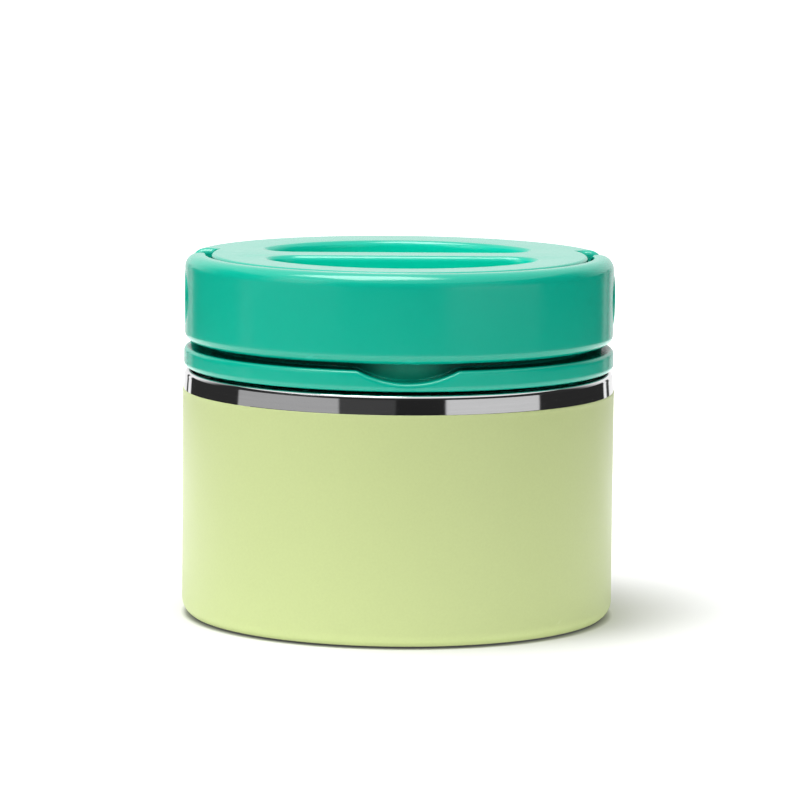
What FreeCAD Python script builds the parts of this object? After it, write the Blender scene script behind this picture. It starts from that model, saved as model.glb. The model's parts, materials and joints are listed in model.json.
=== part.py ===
"""Insulated food jar: a double-walled steel jar with a screw lid and a swing-up carry handle.

Millimetres. The origin is the middle of the foot, +Z is up, and the front is at -Y, where the
finger scoop is. The handle's pivots lie on a line parallel to X.
"""
import FreeCAD, Part
import math
import os

Vector = FreeCAD.Vector
UP = Vector(0, 0, 1)
RIGHT = Vector(1, 0, 0)
BACK = Vector(0, 1, 0)

# Overall size
BODY_RADIUS = 54.0
TOP_Z = 90.5
FAR = 200.0
EPSILON = 0.01

# Steel jar
PAINT = 0.2
STEEL_RADIUS = BODY_RADIUS - PAINT
SHELL_WALL = 0.6
LINER_WALL = 0.5
BASE_ROUND = 4.0
PAINT_BOTTOM_Z = 0.5
PAINT_TOP_Z = 56.85
SHOULDER_Z = 61.75
SHOULDER_RADIUS = 53.45
SHOULDER_ROUND = 1.4
NECK_RADIUS = 42.2
NECK_ROOT_ROUND = 1.2
BRIM_Z = 74.5
BRIM_ROUND = 0.6

# Inner liner, measured on the side that touches the food
MOUTH_RADIUS = 40.5
CAVITY_RADIUS = 50.2
CAVITY_FLOOR_Z = 8.0
CAVITY_FLOOR_ROUND = 9.0
CAVITY_SHOULDER_Z = 56.25
CAVITY_SHOULDER_ROUND = 5.0
MOUTH_ROOT_Z = 59.65
MOUTH_ROOT_ROUND = 3.0

# Foot and the parts in its recess
FOOT_RADIUS = 46.9
RECESS_Z = 2.4
RECESS_ROUND = 0.6
PORT_RADIUS = 0.8
BEAD_RADIUS = 2.2
BEAD_BOTTOM_Z = 1.6
PAD_RADIUS = 45.5
PAD_BOTTOM_Z = 0.9
PAD_ROUND = 0.5
PAD_POCKET_RADIUS = 3.2
PAD_POCKET_Z = 1.4
GETTER_RADIUS = 5.5
GETTER_THICKNESS = 1.8
GETTER_ROUND = 0.5

# Two-start right-hand thread between the neck and the lid
THREAD_LEAD = 8.0
THREAD_STARTS = 2
THREAD_CLEARANCE = 0.3
THREAD_HEIGHT = 1.2
THREAD_ROOT_WIDTH = 2.0
THREAD_CREST_WIDTH = 1.2
THREAD_SINK = 0.3
NECK_THREAD_Z = 65.0
NECK_THREAD_TURNS = 0.85
LID_THREAD_Z = 64.9
LID_THREAD_TURNS = 0.5
THREAD_BEARING_SHIFT = 0.1

# Lid mouldings
FLANGE_RADIUS = 53.7
FLANGE_BOTTOM_Z = 62.35
FLANGE_TOP_Z = 67.4
FLANGE_BOTTOM_ROUND = 1.2
FLANGE_TOP_ROUND = 1.1
FLANGE_ROOT_ROUND = 0.5
LID_WALL = 1.8
LID_TOP_WALL = 2.2
CORE_RADIUS = 47.0
CORE_EDGE_ROUND = 1.0
LID_SIDE_RADIUS = 53.5
LID_TOP_ROUND = 3.3
REAR_WALL_Y = 11.6
REAR_END_ROUND = 1.6
SKIRT_RADIUS = CORE_RADIUS - LID_WALL
SKIRT_INNER_RADIUS = NECK_RADIUS + THREAD_CLEARANCE + THREAD_HEIGHT
SKIRT_BOTTOM_Z = 63.6
SKIRT_EDGE_ROUND = 0.3
SKIRT_ROOT_ROUND = 0.5
CARRIER_TOP_Z = 77.8
CARRIER_PLATE = 1.8
PLUG_GAP = 0.8
PLUG_RADIUS = MOUTH_RADIUS - PLUG_GAP
PLUG_BOTTOM_Z = 69.6
PLUG_WALL = 1.8
PLUG_ROUND = 2.0
GASKET_INNER_GAP = 0.3
GASKET_OUTER_GAP = 0.4
GASKET_INNER_RADIUS = PLUG_RADIUS + GASKET_INNER_GAP
GASKET_OUTER_RADIUS = SKIRT_INNER_RADIUS - GASKET_OUTER_GAP
GASKET_ROUND = 0.4
FOAM_GAP = 0.1

# Grip dish with its bar
DISH_RADIUS = 35.9
DISH_FLOOR_Z = 79.5
DISH_ROUND = 3.5
DISH_TIP_ROUND = 7.5
DISH_RIM_ROUND = 1.5
DISH_WALL = 1.8
BAR_WIDTH = 11.1
BAR_SLOT_WIDTH = 6.8
BAR_SLOT_HALF_LENGTH = 34.0

# Finger scoop in the front of the flange
SCOOP_WIDTH = 24.5
SCOOP_DEPTH = 3.0
SCOOP_FLOOR_WALL = 1.2
SCOOP_BLOCK_HALF_WIDTH = 14.5

# Handle band and its pivots
BAND_INNER_RADIUS = 48.4
BAND_BOTTOM_Z = 68.9
BAND_BOTTOM_ROUND = 2.2
BAND_INNER_ROUND = 0.8
PIVOT_Z = (BAND_BOTTOM_Z + TOP_Z) / 2
EAR_RADIUS = (TOP_Z - BAND_BOTTOM_Z) / 2
PIVOT_POCKET_RADIUS = 11.5
PIVOT_POCKET_X = 46.4
PIVOT_PAD_RADIUS = 6.0
PIVOT_PAD_X = 47.5
PIVOT_BOSS_RADIUS = 3.6
PIVOT_BOSS_X = 36.6
WASHER_RADIUS = 5.9
WASHER_THICKNESS = 0.6
EAR_SEAT_RADIUS = 6.5
EAR_SEAT_X = 48.3
SHOULDER_PIN_RADIUS = 2.4
SHOULDER_PIN_CLEARANCE = 0.05
SCREW_RADIUS = 1.5
SCREW_TIP_X = 38.2
SCREW_HEAD_RADIUS = 4.0
SCREW_HEAD_THICKNESS = 1.7
SCREW_HEAD_X = 50.1
SCREW_SOCKET_WIDTH = 2.5
SCREW_SOCKET_DEPTH = 1.0
SCREW_SOCKET_SIDES = 6
HEAD_POCKET_RADIUS = 4.3
HEAD_POCKET_X = 50.0
CAP_RADIUS = 7.6
CAP_SEAT_X = 52.0
CAP_FACE_X = 53.65
CAP_ROUND = 0.5

# Catch that holds the handle down at the front
CATCH_WIDTH = 5.6
CATCH_LUG_RADIUS = 47.8
CATCH_LUG_TOP_Z = 70.5
CATCH_RIB_WIDTH = 0.8
CATCH_RIB_DROP = 0.35
CATCH_RIB_DEPTH = 2.0
CATCH_RIDGE_RADIUS = 47.5
CATCH_RIDGE_Z = 71.3
CATCH_RIDGE_HEIGHT = 0.8


def outline(corners):
    """A closed wire in the XZ plane through corners given as (x, z, rounding)."""
    count = len(corners)
    starts = []
    ends = []
    middles = []
    for index, (x, z, rounding) in enumerate(corners):
        corner = Vector(x, 0, z)
        before = corners[index - 1]
        after = corners[(index + 1) % count]
        towards_before = (Vector(before[0], 0, before[1]) - corner).normalize()
        towards_after = (Vector(after[0], 0, after[1]) - corner).normalize()
        half_angle = towards_before.getAngle(towards_after) / 2
        if rounding > 0:
            reach = rounding / math.tan(half_angle)
            bisector = (towards_before + towards_after).normalize()
            to_arc = rounding / math.sin(half_angle) - rounding
            starts.append(corner + towards_before * reach)
            ends.append(corner + towards_after * reach)
            middles.append(corner + bisector * to_arc)
        else:
            starts.append(corner)
            ends.append(corner)
            middles.append(None)
    edges = []
    for index in range(count):
        if middles[index] is not None:
            edges.append(Part.Arc(starts[index], middles[index], ends[index]).toShape())
        following = (index + 1) % count
        if ends[index].distanceToPoint(starts[following]) > EPSILON / 10:
            edges.append(Part.LineSegment(ends[index], starts[following]).toShape())
    return Part.Wire(edges)


def turned(corners):
    """A solid of revolution about the jar's axis, from corners (radius, z, rounding)."""
    return Part.Face(outline(corners)).revolve(Vector(0, 0, 0), UP, 360)


def moved_path(path, distance):
    """The open path moved sideways by a distance, to the left of its own direction."""
    directions = []
    for (x0, z0, _), (x1, z1, _) in zip(path, path[1:]):
        directions.append(Vector(x1 - x0, 0, z1 - z0).normalize())
    result = []
    for index, (x, z, rounding) in enumerate(path):
        before = directions[max(index - 1, 0)]
        after = directions[min(index, len(directions) - 1)]
        left_before = Vector(-before.z, 0, before.x)
        left_after = Vector(-after.z, 0, after.x)
        shift = (left_before + left_after) * (distance / (1 + left_before.dot(left_after)))
        turn = before.x * after.z - before.z * after.x
        if rounding > 0:
            rounding -= math.copysign(distance, turn * distance)
        result.append((x + shift.x, z + shift.z, rounding))
    return result


def pressed_sheet(path, wall):
    """Sheet metal turned about the axis: one surface follows the path, the other lies to its left."""
    return turned(list(path) + moved_path(path, wall)[::-1])


def ring(inner, outer, bottom, top):
    """A plain tube about the jar's axis, or a disc where the inner radius is 0."""
    body = Part.makeCylinder(outer, top - bottom, Vector(0, 0, bottom), UP)
    if inner > 0:
        body = body.cut(Part.makeCylinder(inner, top - bottom, Vector(0, 0, bottom), UP))
    return body


def block(low, high):
    """A plain block between two opposite corners."""
    size = Vector(*high) - Vector(*low)
    return Part.makeBox(size.x, size.y, size.z, Vector(*low))


def pivot_disc(side, radius, near, far):
    """A disc about the handle's axis, from near to far along X on one side (-1 or 1)."""
    start = Vector(side * near, 0, PIVOT_Z)
    return Part.makeCylinder(radius, far - near, start, RIGHT * side)


def thread_ridge(root, crest, start_z, turns, start_angle):
    """One helical ridge between two radii; a crest inside its root gives an internal thread."""
    outward = 1 if crest > root else -1
    sunk_root = root - outward * THREAD_SINK
    half_root = THREAD_ROOT_WIDTH / 2
    half_crest = THREAD_CREST_WIDTH / 2
    corners = [(sunk_root, -half_root), (crest, -half_crest), (crest, half_crest), (sunk_root, half_root)]
    points = [Vector(radius, 0, height) for radius, height in corners]
    section = Part.makePolygon(points + points[:1])
    helix = Part.makeHelix(THREAD_LEAD, THREAD_LEAD * turns, sunk_root)
    ridge = Part.Wire(helix.Edges).makePipeShell([section], True, True)
    ridge.rotate(Vector(0, 0, 0), UP, start_angle)
    ridge.translate(Vector(0, 0, start_z))
    return ridge


def thread_ridges(root, crest, start_z, turns, phase_z):
    """All the starts of one thread; phase_z shifts them along the axis against the neck's."""
    turned_before = (start_z - NECK_THREAD_Z - phase_z) / THREAD_LEAD
    ridges = []
    for start in range(THREAD_STARTS):
        angle = 360 * (turned_before + start / THREAD_STARTS)
        ridges.append(thread_ridge(root, crest, start_z, turns, angle))
    return ridges


def make_outer_shell():
    """The drawn steel shell: foot, side, shoulder and threaded neck."""
    path = [
        (FOOT_RADIUS, 0, 0),
        (STEEL_RADIUS, 0, BASE_ROUND),
        (STEEL_RADIUS, PAINT_TOP_Z, 0),
        (SHOULDER_RADIUS, SHOULDER_Z, SHOULDER_ROUND),
        (NECK_RADIUS, SHOULDER_Z, NECK_ROOT_ROUND),
        (NECK_RADIUS, BRIM_Z - LINER_WALL, 0),
    ]
    shell = pressed_sheet(path, SHELL_WALL)
    crest = NECK_RADIUS + THREAD_HEIGHT
    for ridge in thread_ridges(NECK_RADIUS, crest, NECK_THREAD_Z, NECK_THREAD_TURNS, 0):
        shell = shell.fuse(ridge)
    return shell


def make_powder_coat():
    """The coloured coat on the outside of the shell, up to the paint line."""
    path = [
        (FOOT_RADIUS, -PAINT, 0),
        (BODY_RADIUS, -PAINT, BASE_ROUND + PAINT),
        (BODY_RADIUS, PAINT_TOP_Z, 0),
    ]
    coat = pressed_sheet(path, PAINT)
    return coat.common(ring(0, FAR, PAINT_BOTTOM_Z, TOP_Z))


def make_inner_liner():
    """The steel vessel that holds the food, with its lip over the top of the outer neck."""
    path = [
        (0, CAVITY_FLOOR_Z, 0),
        (CAVITY_RADIUS, CAVITY_FLOOR_Z, CAVITY_FLOOR_ROUND),
        (CAVITY_RADIUS, CAVITY_SHOULDER_Z, CAVITY_SHOULDER_ROUND),
        (MOUTH_RADIUS, MOUTH_ROOT_Z, MOUTH_ROOT_ROUND),
        (MOUTH_RADIUS, BRIM_Z, BRIM_ROUND),
        (NECK_RADIUS, BRIM_Z, 0),
    ]
    return pressed_sheet(path, -LINER_WALL)


def make_outer_base():
    """The pressed disc welded inside the foot, with the evacuation port at its centre."""
    inner_rim = FOOT_RADIUS - SHELL_WALL
    path = [(inner_rim, 0, 0), (inner_rim, RECESS_Z, RECESS_ROUND), (0, RECESS_Z, 0)]
    disc = pressed_sheet(path, -SHELL_WALL)
    return disc.cut(ring(0, PORT_RADIUS, 0, CAVITY_FLOOR_Z))


def make_seal_bead():
    """The bead that closes the evacuation port."""
    plug = ring(0, PORT_RADIUS, RECESS_Z, RECESS_Z + SHELL_WALL)
    rounding = (RECESS_Z - BEAD_BOTTOM_Z) / 2
    bead = turned([
        (0, BEAD_BOTTOM_Z, 0),
        (BEAD_RADIUS, BEAD_BOTTOM_Z, rounding),
        (BEAD_RADIUS, RECESS_Z, 0),
        (0, RECESS_Z, 0),
    ])
    return bead.fuse(plug)


def make_getter():
    """The pellet that keeps the vacuum, on the underside of the liner."""
    top = CAVITY_FLOOR_Z - LINER_WALL
    bottom = top - GETTER_THICKNESS
    return turned([
        (0, bottom, 0),
        (GETTER_RADIUS, bottom, GETTER_ROUND),
        (GETTER_RADIUS, top, 0),
        (0, top, 0),
    ])


def make_base_pad():
    """The cover glued into the recess of the foot, over the port."""
    return turned([
        (0, PAD_BOTTOM_Z, 0),
        (PAD_RADIUS, PAD_BOTTOM_Z, PAD_ROUND),
        (PAD_RADIUS, RECESS_Z, 0),
        (PAD_POCKET_RADIUS, RECESS_Z, 0),
        (PAD_POCKET_RADIUS, PAD_POCKET_Z, 0),
        (0, PAD_POCKET_Z, 0),
    ])


def make_rear_wall():
    """The full-height back half of the lid, before its hollow is cut."""
    ring_body = turned([
        (SKIRT_RADIUS, FLANGE_TOP_Z - LID_WALL, 0),
        (LID_SIDE_RADIUS, FLANGE_TOP_Z - LID_WALL, 0),
        (LID_SIDE_RADIUS, TOP_Z, LID_TOP_ROUND),
        (SKIRT_RADIUS, TOP_Z, 0),
    ])
    half = block((-FAR, REAR_WALL_Y, 0), (FAR, FAR, FAR))
    wall = ring_body.common(half)
    end_edges = []
    for edge in wall.Edges:
        middle = edge.valueAt((edge.FirstParameter + edge.LastParameter) / 2)
        on_end = abs(middle.y - REAR_WALL_Y) < EPSILON
        outside = math.hypot(middle.x, middle.y) > LID_SIDE_RADIUS - EPSILON
        on_top = middle.z > TOP_Z - LID_TOP_ROUND
        if on_end and (outside or on_top):
            end_edges.append(edge)
    return wall.makeFillet(REAR_END_ROUND, end_edges)


def make_rear_hollow():
    """The hollow inside the back half, open downwards through the flange."""
    outer = LID_SIDE_RADIUS - LID_WALL
    ring_body = turned([
        (CORE_RADIUS, 0, 0),
        (outer, 0, 0),
        (outer, TOP_Z - LID_TOP_WALL, LID_TOP_ROUND - LID_WALL),
        (CORE_RADIUS, TOP_Z - LID_TOP_WALL, 0),
    ])
    half = block((-FAR, REAR_WALL_Y + LID_WALL, 0), (FAR, FAR, FAR))
    return ring_body.common(half)


def upright(edge):
    """Whether an edge is a straight upright line."""
    return edge.BoundBox.XLength < EPSILON and edge.BoundBox.YLength < EPSILON


def level_at(edge, height):
    """Whether an edge lies flat at one height."""
    return edge.BoundBox.ZLength < EPSILON and abs(edge.BoundBox.ZMin - height) < EPSILON


def make_dish_pocket(side):
    """The half-moon pocket on one side of the grip bar, rounded at its tips and round its foot."""
    low = (-FAR, BAR_WIDTH / 2, 0) if side > 0 else (-FAR, -FAR, 0)
    high = (FAR, FAR, FAR) if side > 0 else (FAR, -BAR_WIDTH / 2, FAR)
    moon = ring(0, DISH_RADIUS, DISH_FLOOR_Z, TOP_Z + DISH_WALL).common(block(low, high))
    moon = moon.makeFillet(DISH_TIP_ROUND, [edge for edge in moon.Edges if upright(edge)])
    foot = [edge for edge in moon.Edges if level_at(edge, DISH_FLOOR_Z)]
    return moon.makeFillet(DISH_ROUND, foot)


def cut_dish(shell):
    """The lid with its dish cut on both sides of the grip bar, and the rim of each pocket rounded."""
    dished = shell.cut([make_dish_pocket(-1), make_dish_pocket(1)])
    rims = []
    for edge in dished.Edges:
        box = edge.BoundBox
        reach = max(box.XMax, -box.XMin, box.YMax, -box.YMin)
        if level_at(edge, TOP_Z) and reach < DISH_RADIUS + EPSILON:
            rims.append(edge)
    return dished.makeFillet(DISH_RIM_ROUND, rims)


def make_scoop_tool():
    """The round cut of the finger scoop, outside the lid's core."""
    radius = (SCOOP_WIDTH ** 2 / 4 + SCOOP_DEPTH ** 2) / (2 * SCOOP_DEPTH)
    centre = Vector(0, -FAR, FLANGE_TOP_Z - SCOOP_DEPTH + radius)
    barrel = Part.makeCylinder(radius, FAR, centre, BACK)
    return barrel.common(ring(CORE_RADIUS, FAR, 0, FLANGE_TOP_Z + CATCH_RIB_DROP))


def make_lid_shell():
    """The coloured lid moulding: dish, core wall, flange and full-height back half."""
    channel_outer = FLANGE_RADIUS - LID_WALL
    channel_top = FLANGE_TOP_Z - LID_WALL
    under_top = TOP_Z - LID_TOP_WALL
    shell = turned([
        (0, CARRIER_TOP_Z, 0),
        (DISH_RADIUS + DISH_WALL, CARRIER_TOP_Z, 0),
        (DISH_RADIUS + DISH_WALL, under_top, 0),
        (SKIRT_RADIUS, under_top, 0),
        (SKIRT_RADIUS, FLANGE_BOTTOM_Z, 0),
        (CORE_RADIUS, FLANGE_BOTTOM_Z, 0),
        (CORE_RADIUS, channel_top, 0),
        (channel_outer, channel_top, 0),
        (channel_outer, FLANGE_BOTTOM_Z, 0),
        (FLANGE_RADIUS, FLANGE_BOTTOM_Z, FLANGE_BOTTOM_ROUND),
        (FLANGE_RADIUS, FLANGE_TOP_Z, FLANGE_TOP_ROUND),
        (CORE_RADIUS, FLANGE_TOP_Z, FLANGE_ROOT_ROUND),
        (CORE_RADIUS, TOP_Z, CORE_EDGE_ROUND),
        (0, TOP_Z, 0),
    ])
    shell = cut_dish(shell)
    block_bottom = FLANGE_TOP_Z - SCOOP_DEPTH - SCOOP_FLOOR_WALL
    scoop_block = ring(SKIRT_RADIUS, channel_outer + LID_WALL / 2, block_bottom, channel_top + LID_WALL / 2)
    reach = block((-SCOOP_BLOCK_HALF_WIDTH, -FAR, 0), (SCOOP_BLOCK_HALF_WIDTH, 0, FAR))
    shell = shell.fuse([make_rear_wall(), scoop_block.common(reach)])
    slot = block((-BAR_SLOT_HALF_LENGTH, -BAR_SLOT_WIDTH / 2, CARRIER_TOP_Z - EPSILON),
                 (BAR_SLOT_HALF_LENGTH, BAR_SLOT_WIDTH / 2, under_top))
    shell = shell.cut([make_rear_hollow(), make_scoop_tool(), slot])
    ridge = ring(SKIRT_RADIUS, CATCH_RIDGE_RADIUS, CATCH_RIDGE_Z, CATCH_RIDGE_Z + CATCH_RIDGE_HEIGHT)
    shell = shell.fuse(ridge.common(block((-CATCH_WIDTH / 2, -FAR, 0), (CATCH_WIDTH / 2, 0, FAR))))
    above_carrier = ring(0, FAR, CARRIER_TOP_Z, FAR)
    for side in (-1, 1):
        shell = shell.cut(pivot_disc(side, PIVOT_POCKET_RADIUS, PIVOT_POCKET_X, FAR))
        pad = pivot_disc(side, PIVOT_PAD_RADIUS, SKIRT_RADIUS, PIVOT_PAD_X)
        boss = pivot_disc(side, PIVOT_BOSS_RADIUS, PIVOT_BOSS_X, SKIRT_RADIUS + EPSILON)
        shell = shell.fuse([pad.cut(ring(0, SKIRT_RADIUS, 0, FAR)), boss.common(above_carrier)])
        shell = shell.cut(pivot_disc(side, SCREW_RADIUS, SCREW_TIP_X, FAR))
    return shell


def make_seal_carrier():
    """The inner moulding: the plug in the mouth and the skirt with the lid's thread."""
    plate_bottom = CARRIER_TOP_Z - CARRIER_PLATE
    carrier = turned([
        (0, PLUG_BOTTOM_Z, 0),
        (PLUG_RADIUS, PLUG_BOTTOM_Z, PLUG_ROUND),
        (PLUG_RADIUS, plate_bottom, 0),
        (SKIRT_INNER_RADIUS, plate_bottom, SKIRT_ROOT_ROUND),
        (SKIRT_INNER_RADIUS, SKIRT_BOTTOM_Z, SKIRT_EDGE_ROUND),
        (SKIRT_RADIUS, SKIRT_BOTTOM_Z, SKIRT_EDGE_ROUND),
        (SKIRT_RADIUS, CARRIER_TOP_Z, 0),
        (PLUG_RADIUS - PLUG_WALL, CARRIER_TOP_Z, 0),
        (PLUG_RADIUS - PLUG_WALL, PLUG_BOTTOM_Z + PLUG_WALL, PLUG_ROUND - PLUG_WALL / 2),
        (0, PLUG_BOTTOM_Z + PLUG_WALL, 0),
    ])
    crest = NECK_RADIUS + THREAD_CLEARANCE
    half_pitch = THREAD_LEAD / THREAD_STARTS / 2
    phase = THREAD_BEARING_SHIFT - half_pitch
    for ridge in thread_ridges(SKIRT_INNER_RADIUS, crest, LID_THREAD_Z, LID_THREAD_TURNS, phase):
        carrier = carrier.fuse(ridge)
    return carrier


def make_gasket():
    """The silicone ring that seals the plug's plate against the brim."""
    top = CARRIER_TOP_Z - CARRIER_PLATE
    return turned([
        (GASKET_INNER_RADIUS, BRIM_Z, GASKET_ROUND),
        (GASKET_OUTER_RADIUS, BRIM_Z, GASKET_ROUND),
        (GASKET_OUTER_RADIUS, top, GASKET_ROUND),
        (GASKET_INNER_RADIUS, top, GASKET_ROUND),
    ])


def make_lid_insulation():
    """The foam disc sealed between the plug and the dish."""
    radius = PLUG_RADIUS - PLUG_WALL - FOAM_GAP
    bottom = PLUG_BOTTOM_Z + PLUG_WALL + FOAM_GAP
    top = CARRIER_TOP_Z - FOAM_GAP
    return turned([(0, bottom, 0), (radius, bottom, PLUG_ROUND), (radius, top, 0), (0, top, 0)])


def make_handle_band():
    """The C-shaped carry handle with its round ears and the lug of its catch."""
    ring_body = turned([
        (BAND_INNER_RADIUS, BAND_BOTTOM_Z, BAND_INNER_ROUND),
        (LID_SIDE_RADIUS, BAND_BOTTOM_Z, BAND_BOTTOM_ROUND),
        (LID_SIDE_RADIUS, TOP_Z, LID_TOP_ROUND),
        (BAND_INNER_RADIUS, TOP_Z, BAND_INNER_ROUND),
    ])
    front = block((-FAR, -FAR, 0), (FAR, 0, FAR))
    ears = Part.makeCylinder(EAR_RADIUS, 2 * FAR, Vector(-FAR, 0, PIVOT_Z), RIGHT)
    band = ring_body.common(front.fuse(ears))
    lug = ring(CATCH_LUG_RADIUS, BAND_INNER_RADIUS + BAND_INNER_ROUND, BAND_BOTTOM_Z, CATCH_LUG_TOP_Z)
    lug = lug.common(block((-CATCH_WIDTH / 2, -FAR, 0), (CATCH_WIDTH / 2, 0, FAR)))
    band = band.fuse(lug)
    for side in (-1, 1):
        centre = side * (CATCH_WIDTH - CATCH_RIB_WIDTH) / 2
        rib = ring(BAND_INNER_RADIUS, BAND_INNER_RADIUS + CATCH_RIB_DEPTH, BAND_BOTTOM_Z - CATCH_RIB_DROP,
                   BAND_BOTTOM_Z + BAND_BOTTOM_ROUND)
        low = (centre - CATCH_RIB_WIDTH / 2, -FAR, 0)
        high = (centre + CATCH_RIB_WIDTH / 2, 0, FAR)
        band = band.fuse(rib.common(block(low, high)))
    for side in (-1, 1):
        band = band.cut([
            pivot_disc(side, CAP_RADIUS, CAP_SEAT_X, FAR),
            pivot_disc(side, HEAD_POCKET_RADIUS, HEAD_POCKET_X, FAR),
            pivot_disc(side, SHOULDER_PIN_RADIUS + SHOULDER_PIN_CLEARANCE, CORE_RADIUS, FAR),
            pivot_disc(side, EAR_SEAT_RADIUS, CORE_RADIUS, EAR_SEAT_X),
        ])
    return band


def make_pivot_cap(side):
    """The flat round cap over one pivot screw."""
    section = outline([
        (CAP_SEAT_X, 0, 0),
        (CAP_SEAT_X, CAP_RADIUS, 0),
        (CAP_FACE_X, CAP_RADIUS, CAP_ROUND),
        (CAP_FACE_X, 0, 0),
    ])
    cap = Part.Face(section).revolve(Vector(0, 0, 0), RIGHT, 360)
    if side < 0:
        cap.rotate(Vector(0, 0, 0), UP, 180)
    cap.translate(Vector(0, 0, PIVOT_Z))
    return cap


def make_pivot_screw(side):
    """The steel shoulder screw that one ear of the handle turns on."""
    head_top = SCREW_HEAD_X + SCREW_HEAD_THICKNESS
    thread = pivot_disc(side, SCREW_RADIUS, SCREW_TIP_X, PIVOT_PAD_X)
    shoulder = pivot_disc(side, SHOULDER_PIN_RADIUS, PIVOT_PAD_X, SCREW_HEAD_X)
    head = pivot_disc(side, SCREW_HEAD_RADIUS, SCREW_HEAD_X, head_top)
    screw = thread.fuse([shoulder, head])
    flats = SCREW_SOCKET_WIDTH / math.sqrt(3)
    hexagon = []
    for index in range(SCREW_SOCKET_SIDES + 1):
        angle = 2 * math.pi * index / SCREW_SOCKET_SIDES
        hexagon.append(Vector(side * (head_top - SCREW_SOCKET_DEPTH), flats * math.cos(angle),
                              PIVOT_Z + flats * math.sin(angle)))
    socket = Part.Face(Part.makePolygon(hexagon)).extrude(RIGHT * side * FAR)
    return screw.cut(socket)


def make_pivot_washer(side):
    """The thin washer between one ear and the lid."""
    far = PIVOT_PAD_X + WASHER_THICKNESS
    washer = pivot_disc(side, WASHER_RADIUS, PIVOT_PAD_X, far)
    return washer.cut(pivot_disc(side, SHOULDER_PIN_RADIUS, PIVOT_PAD_X, far))


def build_all():
    """Every piece of the jar, by name."""
    nodes = {
        "outer_shell": make_outer_shell(),
        "powder_coat": make_powder_coat(),
        "inner_liner": make_inner_liner(),
        "outer_base": make_outer_base(),
        "seal_bead": make_seal_bead(),
        "getter": make_getter(),
        "base_pad": make_base_pad(),
        "gasket": make_gasket(),
        "lid_shell": make_lid_shell(),
        "seal_carrier": make_seal_carrier(),
        "lid_insulation": make_lid_insulation(),
        "handle_band": make_handle_band(),
    }
    for name, side in (("left", -1), ("right", 1)):
        nodes["pivot_cap_" + name] = make_pivot_cap(side)
        nodes["pivot_screw_" + name] = make_pivot_screw(side)
        nodes["pivot_washer_" + name] = make_pivot_washer(side)
    return nodes


os.makedirs("parts", exist_ok=True)
for name, shape in build_all().items():
    print(name, "solids", len(shape.Solids), "valid", shape.isValid(), "volume", round(shape.Volume, 1))
    shape.exportStep("parts/" + name + ".step")
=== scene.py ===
# %% [markdown]
# # An insulated food jar
# The jar has a lime-coated steel body, a bright steel shoulder and a teal screw lid with a carry
# handle. The imported model gives every piece's place, so the first cell loads it and keeps its pieces.
# Everything below is worked out in millimetres and put into metres when a mesh is made.

# %% Load the frame
import json
import math

import bmesh
import bpy
import numpy as np
from mathutils import Matrix, Vector
from mathutils.geometry import tessellate_polygon

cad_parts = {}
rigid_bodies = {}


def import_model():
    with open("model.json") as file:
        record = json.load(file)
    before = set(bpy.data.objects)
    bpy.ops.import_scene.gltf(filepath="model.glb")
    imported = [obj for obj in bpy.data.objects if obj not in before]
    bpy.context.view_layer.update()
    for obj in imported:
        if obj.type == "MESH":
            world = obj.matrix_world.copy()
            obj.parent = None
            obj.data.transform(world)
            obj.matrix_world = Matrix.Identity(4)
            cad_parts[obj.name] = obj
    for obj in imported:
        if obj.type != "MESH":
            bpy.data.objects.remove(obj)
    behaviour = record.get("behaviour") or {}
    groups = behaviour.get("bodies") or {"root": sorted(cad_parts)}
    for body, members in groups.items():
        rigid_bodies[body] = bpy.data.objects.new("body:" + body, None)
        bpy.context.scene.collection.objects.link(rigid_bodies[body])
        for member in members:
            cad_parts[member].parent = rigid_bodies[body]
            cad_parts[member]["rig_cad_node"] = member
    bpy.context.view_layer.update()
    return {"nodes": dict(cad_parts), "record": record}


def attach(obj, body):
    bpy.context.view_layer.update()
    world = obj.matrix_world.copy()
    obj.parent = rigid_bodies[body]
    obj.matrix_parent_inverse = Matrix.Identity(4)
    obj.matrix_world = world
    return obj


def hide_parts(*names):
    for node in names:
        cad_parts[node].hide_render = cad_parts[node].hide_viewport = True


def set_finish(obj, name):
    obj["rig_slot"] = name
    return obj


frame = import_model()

MM = 0.001
print("pieces in the frame:", len(frame["nodes"]))

# %% [markdown]
# ## The camera
# The lens is long, so the jar's sides look almost parallel. The camera stands 1.1 m in front, a
# little to the jar's left, and looks down by about 7 degrees. It is tipped by less than a degree.
# The camera comes first because every later choice is judged through it.

# %% Camera
CAMERA_PLACE = (-49.67, -1133.32, 198.17)
CAMERA_TURN = -2.53
CAMERA_DROP = 7.255
CAMERA_TIP = 0.568
CAMERA_LENS = 205.33


def make_camera():
    """A camera turned about the upright, then tilted down from the horizon, then tipped on its own axis."""
    data = bpy.data.cameras.new("camera")
    data.lens = CAMERA_LENS
    data.sensor_width = 36.0
    data.clip_start = 0.05
    data.clip_end = 50.0
    camera = bpy.data.objects.new("camera", data)
    turn = Matrix.Rotation(math.radians(CAMERA_TURN), 4, "Z")
    tilt = Matrix.Rotation(math.radians(90.0 - CAMERA_DROP), 4, "X")
    tip = Matrix.Rotation(math.radians(CAMERA_TIP), 4, "Z")
    camera.matrix_world = Matrix.Translation(Vector(CAMERA_PLACE) * MM) @ turn @ tilt @ tip
    bpy.context.scene.collection.objects.link(camera)
    bpy.context.scene.camera = camera
    return camera


camera = make_camera()
bpy.context.scene.view_settings.view_transform = "Standard"
print("camera looks along", [round(value, 4) for value in camera.matrix_world.col[2][:3]])

# %% [markdown]
# ## Profiles
# Most of the jar is turned or follows a ring, so a piece starts as a profile: a row of corners,
# each with its rounding. The helper puts a true arc into each corner. It also leaves a holding
# point just beside each arc, so that the long flat face next to it keeps its own shading.

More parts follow.
